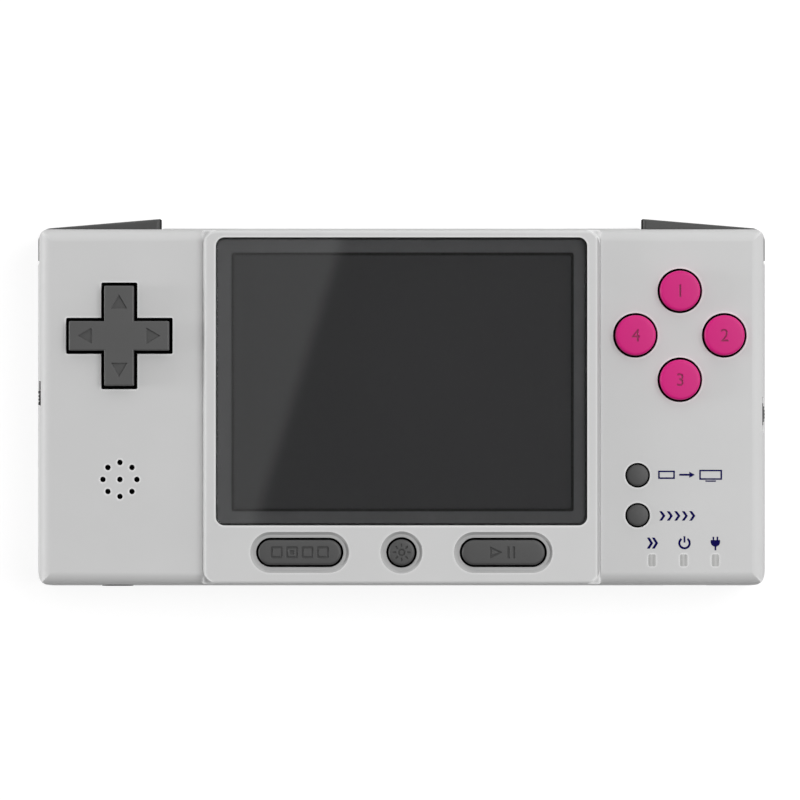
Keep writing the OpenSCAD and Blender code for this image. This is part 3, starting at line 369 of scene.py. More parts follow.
@dataclass(frozen=True)
class ClearSheet(Finish):
    """Polished acrylic: clear, with faint wipe marks; lamps shine through it."""

    index: float = 1.49
    wipe: float = 0.0004

    def build(self) -> Material:
        """Builds the clear sheet's material."""
        tree = Tree(self.name)
        wipes = tree.noise([26.0, 3.0, 10.0], 4.0)
        tree.dress(
            Base_Color=toned(self.colour, 1.0),
            Roughness=0.0,
            Normal=tree.bump(wipes, self.wipe),
            Transmission_Weight=1.0,
            IOR=self.index,
        )
        through = tree.put("BsdfTransparent", {"Color": toned(self.colour, 0.95)})
        ray = tree.put("LightPath").outputs["Is Shadow Ray"]
        both = tree.put("MixShader", {0: ray, 1: tree.shader.outputs["BSDF"], 2: through.outputs["BSDF"]})
        return tree.show(both.outputs["Shader"])


@dataclass(frozen=True)
class Panel(Finish):
    """A screen that is switched off: near-black, with its fine grid of cells."""

    pitch: float = 0.11

    def build(self) -> Material:
        """Builds the screen's material."""
        tree = Tree(self.name)
        cells = tree.put(
            "TexBrick",
            {
                "Vector": tree.place([self.pitch] * 3), "Scale": 1.0, "Mortar Size": 0.06,
                "Brick Width": 1.0, "Row Height": 1.0, "Color1": toned(self.colour, 1.0),
                "Color2": toned(self.colour, 0.97), "Mortar": toned(self.colour, 0.88),
            },
            offset=0.0,
        )
        haze = tree.noise([20.0] * 3, 2.0)
        return tree.dress(
            Base_Color=cells.outputs["Color"],
            Roughness=tree.span(haze, 0.28, 0.4),
            Specular_IOR_Level=0.1,
        )


@dataclass(frozen=True)
class Lamp(Finish):
    """Milky light guide with upright ribs moulded behind its face."""

    rib: float = 0.42

    def build(self) -> Material:
        """Builds the light guide's material."""
        tree = Tree(self.name)
        ribs = tree.put(
            "TexWave", {"Vector": tree.place([self.rib * 2] * 3), "Scale": 0.32, "Distortion": 0.4},
            bands_direction="X",
        )
        cloud = tree.noise([0.8] * 3, 2.0)
        stripes = tree.blend(ribs.outputs["Fac"], toned(self.colour, 0.88), toned(self.colour, 1.06))
        return tree.dress(
            Base_Color=stripes,
            Roughness=tree.span(cloud, 0.3, 0.42),
            Subsurface_Weight=0.25,
            Subsurface_Radius=(1.0, 1.0, 1.0),
            Subsurface_Scale=0.5 * MM,
            Normal=tree.bump(ribs.outputs["Fac"], 0.01),
        )


@dataclass(frozen=True)
class SolderMask(Finish):
    """Circuit board: green lacquer over copper tracks."""

    track: float = 1.1

    def build(self) -> Material:
        """Builds the board's material."""
        tree = Tree(self.name)
        tracks = tree.put(
            "TexBrick",
            {
                "Vector": tree.place([self.track] * 3), "Scale": 1.0, "Mortar Size": 0.16,
                "Brick Width": 3.4, "Row Height": 0.55, "Color1": toned(self.colour, 1.0),
                "Color2": toned(self.colour, 0.9), "Mortar": toned(self.colour, 1.5),
            },
            offset=0.37, squash=0.6, squash_frequency=3,
        )
        height = tree.put("RGBToBW", {"Color": tracks.outputs["Color"]}).outputs["Val"]
        cloud = tree.noise([9.0] * 3, 3.0)
        return tree.dress(
            Base_Color=tracks.outputs["Color"],
            Roughness=tree.span(cloud, 0.24, 0.42),
            Normal=tree.bump(height, 0.03),
        )


@dataclass(frozen=True)
class Film(Finish):
    """Shrunk or bonded film: glossy, with fine creases or the lines of conductors under it."""

    crease: Sequence[float] = (7.0, 1.2, 3.0)
    contrast: float = 0.12
    depth: float = 0.05

    def build(self) -> Material:
        """Builds the film's material."""
        tree = Tree(self.name)
        folds = tree.noise(self.crease, 3.0)
        dust = tree.noise([0.5] * 3, 2.0)
        body = tree.blend(folds, toned(self.colour, 1 - self.contrast), toned(self.colour, 1 + self.contrast))
        return tree.dress(
            Base_Color=body,
            Roughness=tree.span(dust, 0.22, 0.4),
            Coat_Weight=0.3,
            Normal=tree.bump(folds, self.depth),
        )


# The case's wide, strong lighter edges are a painted highlight along every edge and opening
CASE = Moulded(
    "case_plastic", on_screen(198, 198, 198), roughness=0.55, mottle=0.012, edge=0.15, wear_and_highlight=0.8,
    highlight_width=0.8,
)
# Darker plastic with a finer grain for the dishes and the block's right slope: painted shade
DISH_SHADE = Moulded("dish_painted_shade", on_screen(172, 172, 172), roughness=0.6, grain=0.2, mottle=0.012, edge=0.15)
# Lighter plastic for the crease at the block's left foot: painted light that lifts its shade
CREASE_LIGHT = Moulded("crease_painted_light", on_screen(228, 228, 228), roughness=0.6, mottle=0.012, edge=0.05)
CONTROL = Moulded("control_plastic", on_screen(76, 76, 76), grain=0.22, depth=0.006, mottle=0.04)
TRIGGER = Moulded("trigger_plastic", on_screen(60, 60, 60), grain=0.25, depth=0.006, mottle=0.03)
CAP = Moulded("cap_plastic", on_screen(66, 66, 66), grain=0.22, depth=0.006, mottle=0.04)
# Darker floors of engraved marks and of the pad's triangles: painted shade in the recesses, with a rougher
# grain
ENGRAVED_SHADE = Moulded("engraved_control_shade", on_screen(62, 62, 62), roughness=0.65, grain=0.2, edge=0.05)
PAD_MARK_SHADE = Moulded("pad_mark", on_screen(70, 70, 70), roughness=0.6, grain=0.2, edge=0.05)
MAGENTA = Moulded(
    "button_plastic", on_screen(200, 20, 117), roughness=0.42, grain=0.22, depth=0.003, gloss=0.3
)
# Darker floor of the numerals on the magenta buttons: painted shade in the recesses
MAGENTA_CUT_SHADE = Moulded("engraved_button_shade", on_screen(150, 28, 86), roughness=0.6, grain=0.2, edge=0.05)
BLACK = Moulded("black_plastic", (0.014, 0.014, 0.015), grain=0.2, depth=0.005, mottle=0.08)
CHIP = Moulded("chip_resin", (0.02, 0.02, 0.022), roughness=0.62, grain=0.12, depth=0.006, mottle=0.06)
WHITE = Moulded("white_plastic", (0.72, 0.71, 0.68), roughness=0.45, grain=0.2)
WAFER = Moulded("wafer_resin", (0.2, 0.085, 0.03), roughness=0.55, depth=0.008, mottle=0.1)
STEEL = Metal("drawn_steel", (0.58, 0.575, 0.56))
CAN = Metal("capacitor_can", (0.66, 0.67, 0.68), roughness=0.4, drawn=(0.3, 0.3, 2.0))
GOLD = Metal("plated_contact", (0.83, 0.6, 0.22), roughness=0.24, drawn=(0.2, 2.0, 0.2))
RUBBER = Soft("silicone_rubber", (0.62, 0.62, 0.6), depth=0.008, milky=0.3)
# Near-black, almost without gloss: real black foam, and the screen seal's painted shade
FOAM = Soft("black_foam", (0.004, 0.004, 0.004), pore=Pore.OPEN, depth=0.12, gloss=0.05)
PAPER = Soft("cone_paper", (0.02, 0.02, 0.021), depth=0.015)
NAVY = Ink("navy_print", on_screen(4, 0, 72), gloss=0.05)
WHITE_INK = Ink("white_print", (0.75, 0.75, 0.75), worn=(0.2, 0.21, 0.24))
BORDER = Ink("border_print", on_screen(50, 50, 51), roughness=0.5, worn=(0.03, 0.03, 0.03), gloss=0.1)
# Near-black painted shade for the joint round the clear cover
JOINT_SHADE = Ink("joint_painted_shade", (0.002, 0.002, 0.002), roughness=0.7, worn=(0.01, 0.01, 0.01), gloss=0.05)
# Near-black painted shade for the triggers' inner ends, and for the pad and button flanges under the shell
PAINTED_SHADE = Ink("painted_shade_black", (0.002, 0.002, 0.002), roughness=0.8, worn=(0.01, 0.01, 0.01), gloss=0.05)
CLEAR = ClearSheet("clear_acrylic", (0.985, 0.99, 0.99))
SCREEN = Panel("dark_screen", on_screen(30, 30, 31))
LAMP = Lamp("light_guide", on_screen(184, 184, 183))
BOARD = SolderMask("green_board", (0.018, 0.11, 0.04))
WRAP = Film("battery_film", (0.05, 0.075, 0.12))
FLEX = Film("amber_film", (0.45, 0.16, 0.03), crease=(0.3, 40.0, 40.0), contrast=0.35, depth=0.012)


def ring(
    width: float, length: float, radius: float, z: float, middle: Point = (0.0, 0.0), steps: int = 10
) -> Ring:
    """Points round a rectangle with rounded corners; at the largest radius it is a pill or a circle.

    Args:
        width: size along X, in mm.
        length: size along Y, in mm.
        radius: corner radius, in mm.
        z: height of the ring, in mm.
        middle: centre of the ring.
        steps: points in each corner.

    Returns:
        The points, anticlockwise from above.
    """
    points = []
    for corner, (sx, sy) in enumerate(((1, 1), (-1, 1), (-1, -1), (1, -1))):
        for step in range(steps):
            turn = math.radians(90 * corner + 90 * (step + 0.5) / steps)
            points.append(Vector((
                middle[0] + sx * (width / 2 - radius) + radius * math.cos(turn),
                middle[1] + sy * (length / 2 - radius) + radius * math.sin(turn),
                z,
            )))
    return points


def grown(size: Vector, out: float, radius: float, z: float, middle: Sequence[float]) -> Ring:
    """Ring round a size that is grown by an amount on every side, in mm."""
    return ring(size.x + 2 * out, size.y + 2 * out, radius, z, middle)


def outline(width: float, length: float, radius: float, middle: Point, steps: int) -> list[Point]:
    """Corners of a ring from above."""
    return [tuple(point.xy) for point in ring(width, length, radius, 0.0, middle, steps)]


def turned(points: Outline, degrees: float, middle: Sequence[float]) -> list[Point]:
    """Points turned round the origin and then moved to a middle."""
    turn = Matrix.Rotation(math.radians(degrees), 2)
    return [tuple(turn @ Vector(point) + Vector(middle)) for point in points]


def bar(x0: float, x1: float, y0: float, y1: float) -> list[Point]:
    """Corners of an upright rectangle."""
    return [(x0, y0), (x1, y0), (x1, y1), (x0, y1)]


def loft(rings: Sequence[Ring], closed: bool = False) -> Mesh:
    """Skin over rings of equal count.

    Args:
        rings: the rings in order.
        closed: joins the last ring to the first one, as in a frame; otherwise both ends are capped.

    Returns:
        A closed mesh, in mm.
    """
    mesh = bmesh.new()
    rows = [[mesh.verts.new(point) for point in points] for points in rings]
    pairs = list(zip(rows, rows[1:]))
    if closed:
        pairs.append((rows[-1], rows[0]))
    for low, high in pairs:
        for i in range(len(low)):
            j = (i + 1) % len(low)
            mesh.faces.new((low[i], low[j], high[j], high[i]))
    if not closed:
        mesh.faces.new(rows[0][::-1])
        mesh.faces.new(rows[-1])
    bmesh.ops.recalc_face_normals(mesh, faces=mesh.faces)
    return mesh


def prism(outer: Outline, low: float, high: float, inner: Outline = ()) -> Mesh:
    """Upright solid over an outline, or an upright frame between two outlines of equal count.

    Args:
        outer: corners in order.
        low: lower level, in mm.
        high: upper level, in mm.
        inner: corners of the frame's window in the same order.

    Returns:
        A closed mesh, in mm.
    """
    edges = [(outer, low), (outer, high)]
    if inner:
        edges += [(inner, high), (inner, low)]
    return loft([[Vector((x, y, z)) for x, y in line] for line, z in edges], closed=bool(inner))


def link(name: str, data: bpy.types.ID) -> Thing:
    """Makes an object of its data and sets it in the scene.

    Args:
        name: the object's name.
        data: its mesh, text, lamp or camera.

    Returns:
        The new object.
    """
    thing = bpy.data.objects.new(name, data)
    bpy.context.scene.collection.objects.link(thing)
    return thing


def together(meshes: Iterable[Mesh]) -> Mesh:
    """One mesh of several, which are used up.

    Args:
        meshes: meshes that don't touch.

    Returns:
        All of them in one.
    """
    whole = bmesh.new()
    for mesh in meshes:
        part = bpy.data.meshes.new("part")
        mesh.to_mesh(part)
        mesh.free()
        whole.from_mesh(part)
        bpy.data.meshes.remove(part)
    return whole


def carve(body: Mesh, cutter: Mesh) -> Mesh:
    """Cuts one closed mesh out of another.

    Args:
        body: the piece, used up.
        cutter: what is taken away, used up.

    Returns:
        The piece with the cut.
    """
    pair = []
    for mesh in (body, cutter):
        data = bpy.data.meshes.new("carved")
        mesh.to_mesh(data)
        mesh.free()
        pair.append(link("carved", data))
    cut = pair[0].modifiers.new("cut", "BOOLEAN")
    cut.operation, cut.solver, cut.object = "DIFFERENCE", "EXACT", pair[1]
    result = bmesh.new()
    result.from_object(pair[0], bpy.context.evaluated_depsgraph_get())
    for thing in pair:
        data = thing.data
        bpy.data.objects.remove(thing)
        bpy.data.meshes.remove(data)
    return result


def numeral(text: str, height: float, low: float, high: float, middle: Point) -> Mesh:
    """Upright solid of a plain numeral.

    Args:
        text: the numeral.
        height: its height, in mm.
        low: lower level, in mm.
        high: upper level, in mm.
        middle: centre of the numeral.

    Returns:
        A closed mesh, in mm.
    """
    letters = bpy.data.curves.new("numeral", "FONT")
    letters.body, letters.size, letters.resolution_u = text, height / CAP_SHARE, 4
    letters.extrude = (high - low) / 2
    thing = link("numeral", letters)
    mesh = bmesh.new()
    data = thing.evaluated_get(bpy.context.evaluated_depsgraph_get()).to_mesh()
    mesh.from_mesh(data)
    bpy.data.objects.remove(thing)
    bpy.data.curves.remove(letters)
    bmesh.ops.remove_doubles(mesh, verts=mesh.verts, dist=0.002)
    spots = [vertex.co for vertex in mesh.verts]
    centre = Vector([(min(p[i] for p in spots) + max(p[i] for p in spots)) / 2 for i in range(3)])
    bmesh.ops.translate(mesh, verts=mesh.verts, vec=Vector((*middle, (low + high) / 2)) - centre)
    bmesh.ops.recalc_face_normals(mesh, faces=mesh.faces)
    return mesh


def piece(
    name: str, mesh: Mesh, body: str, finishes: Sequence[Finish], replaced: Sequence[str] = ()
) -> Thing:
    """Makes an object of a mesh in mm, dresses it and sets it on its body.

    Args:
        name: the piece's name.
        mesh: its mesh, used up.
        body: CAD body that it rides on.
        finishes: finishes in the order of the faces' material numbers.
        replaced: CAD nodes that it stands for.

    Returns:
        The new object, in metres.
    """
    bmesh.ops.scale(mesh, verts=mesh.verts, vec=(MM, MM, MM))
    data = bpy.data.meshes.new(name)
    mesh.to_mesh(data)
    mesh.free()
    data.polygons.foreach_set("use_smooth", [True] * len(data.polygons))
    data.set_sharp_from_angle(angle=SHARP)
    for finish in finishes:
        data.materials.append(finish.material())
    thing = link(name, data)
    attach(thing, body)
    if replaced:
        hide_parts(*replaced)
    return thing


def dress(finish: Finish, *nodes: str) -> list[Thing]:
    """Gives CAD solids a finish.

    Args:
        finish: the finish.
        nodes: names of the solids.

    Returns:
        Their objects.
    """
    things = [frame["nodes"][name] for name in nodes]
    for thing in things:
        thing.data.materials.clear()
        thing.data.materials.append(finish.material())
    return things


def box_mm(node: str) -> tuple[Vector, Vector]:
    """Lowest and highest corner of a CAD solid, in mm."""
    low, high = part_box(node)
    return low / MM, high / MM


def centre_mm(node: str) -> Vector:
    """Centre of a CAD solid from above, in mm."""
    return (sum(box_mm(node), Vector()) / 2).xy


class Assembly(ABC):
    """A group of pieces that is built and dressed together."""

    @abstractmethod
    def build(self) -> list[Thing]:
        """Builds and dresses the group's pieces."""


@dataclass
class CaseShell(Assembly):
    """Both halves of the case and the battery's cover, with the screws that hold them."""

    shells: Sequence[str] = ("front_shell", "rear_shell", "battery_cover")
    screws: Sequence[str] = ("case_screws", "cover_screws")
    dish_y: float = -26.15
    dish_reach: Point = (30.0, 4.6)
    dish_deep: float = 1.2
    foot_x: float = 35.8
    foot_reach: float = 0.8
    wing_z: float = 17.6
    slope_high: float = 1.7
    crease_deep: Point = (0.02, 0.2)

    def paint_light_and_shade(self, shell: Thing) -> None:
        """Paints the front shell's dishes and the block's right slope darker (painted shade), and the crease
        at the block's left foot lighter (painted light).

        Args:
            shell: the front shell.
        """
        top, (shallow, deep) = box_mm("front_shell")[1].z, self.crease_deep
        for finish in (DISH_SHADE, CREASE_LIGHT):
            shell.data.materials.append(finish.material())
        for face in shell.data.polygons:
            x, y, z = face.center / MM
            dished = abs(x) < self.dish_reach[0] and abs(y - self.dish_y) < self.dish_reach[1]
            # Dish faces get painted shade
            if dished and face.normal.z > 0.15 and 0.03 < top - z < self.dish_deep:
                face.material_index = 1
            # Faces of the crease at the block's left foot get painted light
            elif abs(x + self.foot_x) < self.foot_reach and shallow < self.wing_z - z < deep:
                face.material_index = 2
            # Faces of the block's right slope that look right get painted shade
            elif abs(x - self.foot_x) < self.foot_reach and 0.0 < z - self.wing_z < self.slope_high:
                face.material_index = int(face.normal.x > 0.5)

    def build(self) -> list[Thing]:
        """Dresses the shells and the screws."""
        made = dress(CASE, *self.shells) + dress(STEEL, *self.screws)
        # Painted shade and painted light on some faces of the front shell
        self.paint_light_and_shade(made[0])
        return made


@dataclass
class ScreenStack(Assembly):
    """Clear cover with its printed border, over the screen in its tray."""

    corner: float = 1.4
    chamfer: float = 0.06
    joint: float = 0.17
    # How far the black lip's painted shade reaches in over the border, in mm
    rim: float = 0.22
    window_shift: Point = (0.2, -0.09)
    border_side: float = 2.4
    border_end: float = 2.41
    window_corner: float = 0.5
    air: float = 0.02
    seal_under: float = 0.45
    seal_shade_band: float = 0.5
    seal_thick: float = 0.25
    seal_corner: float = 0.4

    def cover(self) -> Thing:
        """Clear cover with a chamfered front edge."""
        low, high = box_mm("screen_lens")
        size, middle = high - low, (low + high) / 2
        levels = ((0.1, low.z), (0.0, low.z + 0.1), (0.0, high.z - self.chamfer), (self.chamfer, high.z))
        rings = [grown(size, -inset, self.corner - inset, z, middle.xy) for inset, z in levels]
        return piece("clear_cover", loft(rings), "housing", [CLEAR], ["screen_lens"])

    def plan(self) -> tuple[Vector, Vector, Vector]:
        """Size of the clear cover, its middle and the size of the window in its border, from above."""
        low, high = box_mm("screen_lens")
        size = (high - low).xy
        return size, ((low + high) / 2).xy, size - 2 * Vector((self.border_side, self.border_end))

    def border(self) -> Thing:
        """Printed border just under the clear cover, with a black lip that fills the joint round it and edges
        the border: painted shade for the dark joint.
        """
        low, high = box_mm("lens_border")
        size, middle, window = self.plan()
        brim = box_mm("screen_lens")[1].z - self.chamfer
        top, foot = high.z - self.air, low.z + self.air
        rows = [(self.joint, foot), (self.joint, brim), (self.air, brim), (self.air, top), (-self.rim, top)]
        rings = [grown(size, out, self.corner + out, z, middle) for out, z in rows]
        inside = middle + Vector(self.window_shift)
        rings += [ring(*window, self.window_corner, z, inside) for z in (top, foot)]
        mesh = loft(rings, closed=True)
        # The lip's faces get the near-black painted shade
        for face in list(mesh.faces)[:(len(rows) - 1) * len(rings[0])]:
            face.material_index = 1
        return piece("printed_border", mesh, "housing", [BORDER, JOINT_SHADE], ["lens_border"])

    def seal(self) -> Thing:
        """Black foam frame on the screen, which keeps light and dust out; the band that it shows inside the
        window is painted shade, for the border's shadow on the screen's edges.
        """
        _, middle, window = self.plan()
        middle += Vector(self.window_shift)
        panel = box_mm("lcd_panel")[1].z
        steps = (
            (self.seal_under, self.air), (self.seal_under, self.seal_thick),
            (0.1 - self.seal_shade_band, self.seal_thick), (-self.seal_shade_band, self.seal_thick - 0.1),
            (-self.seal_shade_band, self.air),
        )
        rings = [grown(window, out, self.seal_corner, panel + rise, middle) for out, rise in steps]
        return piece("screen_seal_and_shade", loft(rings, closed=True), "housing", [FOAM])

    def build(self) -> list[Thing]:
        """Builds the cover, its border and the seal, and dresses the screen and its tray."""
        inside = dress(SCREEN, "lcd_panel") + dress(STEEL, "lcd_frame")
        inside += dress(WHITE, "lcd_holder", "lcd_connector") + dress(FLEX, "lcd_flex")
        return [self.cover(), self.border(), self.seal()] + inside


@dataclass
class CrossPad(Assembly):
    """Cross pad with an engraved triangle on each arm, on its steel ball."""

    span: float = 18.0
    mark_in: float = 1.6
    mark_width: float = 2.9
    mark_length: float = 2.5
    mark_depth: float = 0.25
    inset: float = 0.12
    sunk: float = 3.3
    plate_under: float = 0.05
    plate_over: float = 0.03

    def marks(self) -> Thing:
        """Floors of the four triangles, darker as painted shade in the recesses."""
        floor = box_mm("dpad")[1].z - self.mark_depth
        tip = self.span / 2 - self.mark_in - 2 * self.inset
        foot = tip - self.mark_length + 3 * self.inset
        half = self.mark_width / 2 - 2 * self.inset
        corners = ((-half, foot), (half, foot), (0.0, tip))
        levels = (floor - self.plate_under, floor + self.plate_over)
        arms = [turned(corners, 90 * quarter, centre_mm("dpad")) for quarter in range(4)]
        plates = [prism(arm, *levels) for arm in arms]
        return piece("pad_marks", together(plates), "dpad", [PAD_MARK_SHADE])

    def build(self) -> list[Thing]:
        """Dresses the pad, with near-black painted shade on its part under the shell, and its ball, and
        builds its marks.
        """
        pad = dress(CONTROL, "dpad")
        pad[0].data.materials.append(PAINTED_SHADE.material())
        level = box_mm("dpad")[1].z - self.sunk
        # Faces below the shell's level get near-black painted shade, so the gap round the pad is dark
        for face in pad[0].data.polygons:
            face.material_index = int(face.center.z / MM < level)
        return pad + dress(STEEL, "dpad_pivot") + [self.marks()]


class Mark(Enum):
    """What is engraved on a button."""

    NONE = ""
    ONE = "1"
    TWO = "2"
    THREE = "3"
    FOUR = "4"
    BOXES = "boxes"
    PLAY = "play"
    SUN = "sun"


@dataclass
class PressCap:
    """One button: a stem, a flange under the shell and a cap with a rounded rim."""

    node: str
    width: float
    length: float
    rim: float
    stem: float
    mark: Mark = Mark.NONE
    finish: Finish = CAP
    # Finish of the engraved floor, darker as painted shade
    cut_finish: Finish = ENGRAVED_SHADE
    slot: str = "control_grey"
    flange_out: float = 0.9
    flange_low: float = 1.0
    flange_thick: float = 0.8
    crown: float = 0.05
    cut: float = 0.14
    mark_height: float = 2.35
    flange_edge: float = 0.1
    rim_steps: int = 8
    crown_steps: int = 6
    crown_share: float = 0.96
    sign_share: float = 0.9
    box_line: float = 0.34
    box_step: float = 2.35

    def skin(self) -> Mesh:
        """Skin of the button without its mark."""
        low, high = box_mm(self.node)
        middle, stem, edge = centre_mm(self.node), 2 * self.stem, self.flange_edge
        seat = low.z + self.flange_low
        shelf = seat + self.flange_thick
        wide, long = self.width + 2 * self.flange_out, self.length + 2 * self.flange_out
        sizes = [(stem, stem, low.z), (stem, stem, seat), (wide - 2 * edge, long - 2 * edge, seat)]
        sizes += [(wide, long, seat + edge), (wide, long, shelf - edge)]
        sizes += [(wide - 2 * edge, long - 2 * edge, shelf), (self.width, self.length, shelf)]
        top = high.z - self.crown
        rows = []
        for step in range(self.rim_steps + 1):
            turn = math.radians(90 * step / self.rim_steps)
            rows.append((self.rim * (1 - math.cos(turn)), top - self.rim * (1 - math.sin(turn))))
        flat = self.length / 2 - self.rim
        for step in range(1, self.crown_steps + 1):
            rise = self.crown * (1 - (1 - step / self.crown_steps) ** 2)
            rows.append((self.rim + flat * self.crown_share * step / self.crown_steps, top + rise))
        sizes += [(self.width - 2 * inset, self.length - 2 * inset, z) for inset, z in rows]
        return loft([ring(w, l, min(w, l) / 2, z, middle, 12) for w, l, z in sizes])

    def sign(self, x: float, y: float) -> list[tuple[Outline, Outline]]:
        """Outlines of a mark that isn't a numeral.

        Args:
            x: centre of the button.
            y: centre of the button.

        Returns:
            Each outline with the window in it, which is empty where the shape is full.
        """
        half, line = self.mark_height / 2, self.box_line
        side = half * self.sign_share
        if self.mark is Mark.PLAY:
            outer = [(x - 2.4, y + side), (x - 2.4, y - side), (x - 0.2, y)]
            inner = [(x - 2.06, y + side - 0.56), (x - 2.06, y - side + 0.56), (x - 0.82, y)]
            bars = [outline(0.42, 2 * side, 0.12, (x + reach, y), 3) for reach in (0.9, 1.9)]
            return [(outer, inner)] + [(shape, ()) for shape in bars]
        if self.mark is Mark.SUN:
            disc, hole = (outline(wide, wide, wide / 2, (x, y), 6) for wide in (1.3, 0.72))
            ray = outline(0.6, 0.3, 0.14, (1.28, 0.0), 3)
            return [(disc, hole)] + [(turned(ray, 45 * place, (x, y)), ()) for place in range(8)]
        shapes = []
        for place in range(4 if self.mark is Mark.BOXES else 0):
            middle = (x + (place - 1.5) * half * self.box_step, y)
            sizes = ((2 * side, 0.3), (2 * side - 2 * line, 0.1), (2 * side - 4 * line, 0.1))
            outer, inner, dot = (outline(wide, wide, radius, middle, 4) for wide, radius in sizes)
            shapes += [(outer, inner), (dot, ())] if place == 1 else [(outer, inner)]
        return shapes

    def cutter(self, low: float, high: float) -> Mesh:
        """Solid that engraves the button's mark.

        Args:
            low: floor of the mark, in mm.
            high: a level over the button, in mm.

        Returns:
            A closed mesh, in mm.
        """
        middle = tuple(centre_mm(self.node))
        shapes = self.sign(*middle)
        if shapes:
            return together([prism(outer, low, high, inner) for outer, inner in shapes])
        return numeral(self.mark.value, self.mark_height, low, high, middle)

    def build(self) -> Thing:
        """Builds the button and engraves its mark."""
        low, high = box_mm(self.node)
        mesh = self.skin()
        floor = high.z - self.crown - self.cut
        if self.mark is not Mark.NONE:
            mesh = carve(mesh, self.cutter(floor, high.z + 0.5))
        shelf = low.z + self.flange_low + self.flange_thick
        # The stem and flange, under the shell, get near-black painted shade, so the gap round the cap is dark
        for face in mesh.faces:
            level = face.calc_center_median().z
            if level < shelf + 0.01:
                face.material_index = 2
            # The engraved floor gets the darker cut finish: painted shade in the recess
            elif abs(level - floor) < 0.02 and face.normal.z > 0.9:
                face.material_index = 1
        finishes = [self.finish, self.cut_finish, PAINTED_SHADE]
        return piece(self.node + "_cap", mesh, self.node, finishes, [self.node])


@dataclass
class FaceButtons(Assembly):
    """Four round buttons in a diamond, numbered from the top clockwise."""

    width: float = 7.25
    rim: float = 0.45
    stem: float = 2.4
    marks: Sequence[tuple[str, Mark]] = (
        ("top", Mark.ONE), ("right", Mark.TWO), ("bottom", Mark.THREE), ("left", Mark.FOUR),
    )

    def build(self) -> list[Thing]:
        """Builds the four buttons."""
        return [
            PressCap(
                f"face_button_{place}", self.width, self.width, self.rim, self.stem, mark,
                MAGENTA, MAGENTA_CUT_SHADE, "button_magenta",
            ).build()
            for place, mark in self.marks
        ]


@dataclass
class MenuButtons(Assembly):
    """Two pills and a round button in dishes under the screen."""

    pill: Point = (14.9, 4.5)
    pill_stem: float = 1.8
    round_width: float = 4.7
    round_stem: float = 1.6
    rim: float = 0.4
    flange_low: float = 2.6

    def build(self) -> list[Thing]:
        """Builds the three buttons."""
        rows = (
            ("select_button", *self.pill, self.pill_stem, Mark.BOXES),
            ("start_button", *self.pill, self.pill_stem, Mark.PLAY),
            ("brightness_button", self.round_width, self.round_width, self.round_stem, Mark.SUN),
        )
        return [
            PressCap(node, wide, long, self.rim, stem, mark, flange_low=self.flange_low, crown=0.03).build()
            for node, wide, long, stem, mark in rows
        ]


@dataclass
class SideButtons(Assembly):
    """Two small round buttons on the right wing."""

    width: float = 3.85
    rim: float = 0.35
    stem: float = 1.4

    def build(self) -> list[Thing]:
        """Builds both buttons."""
        return [
            PressCap(node, self.width, self.width, self.rim, self.stem, crown=0.08).build()
            for node in ("output_button", "turbo_button")
        ]


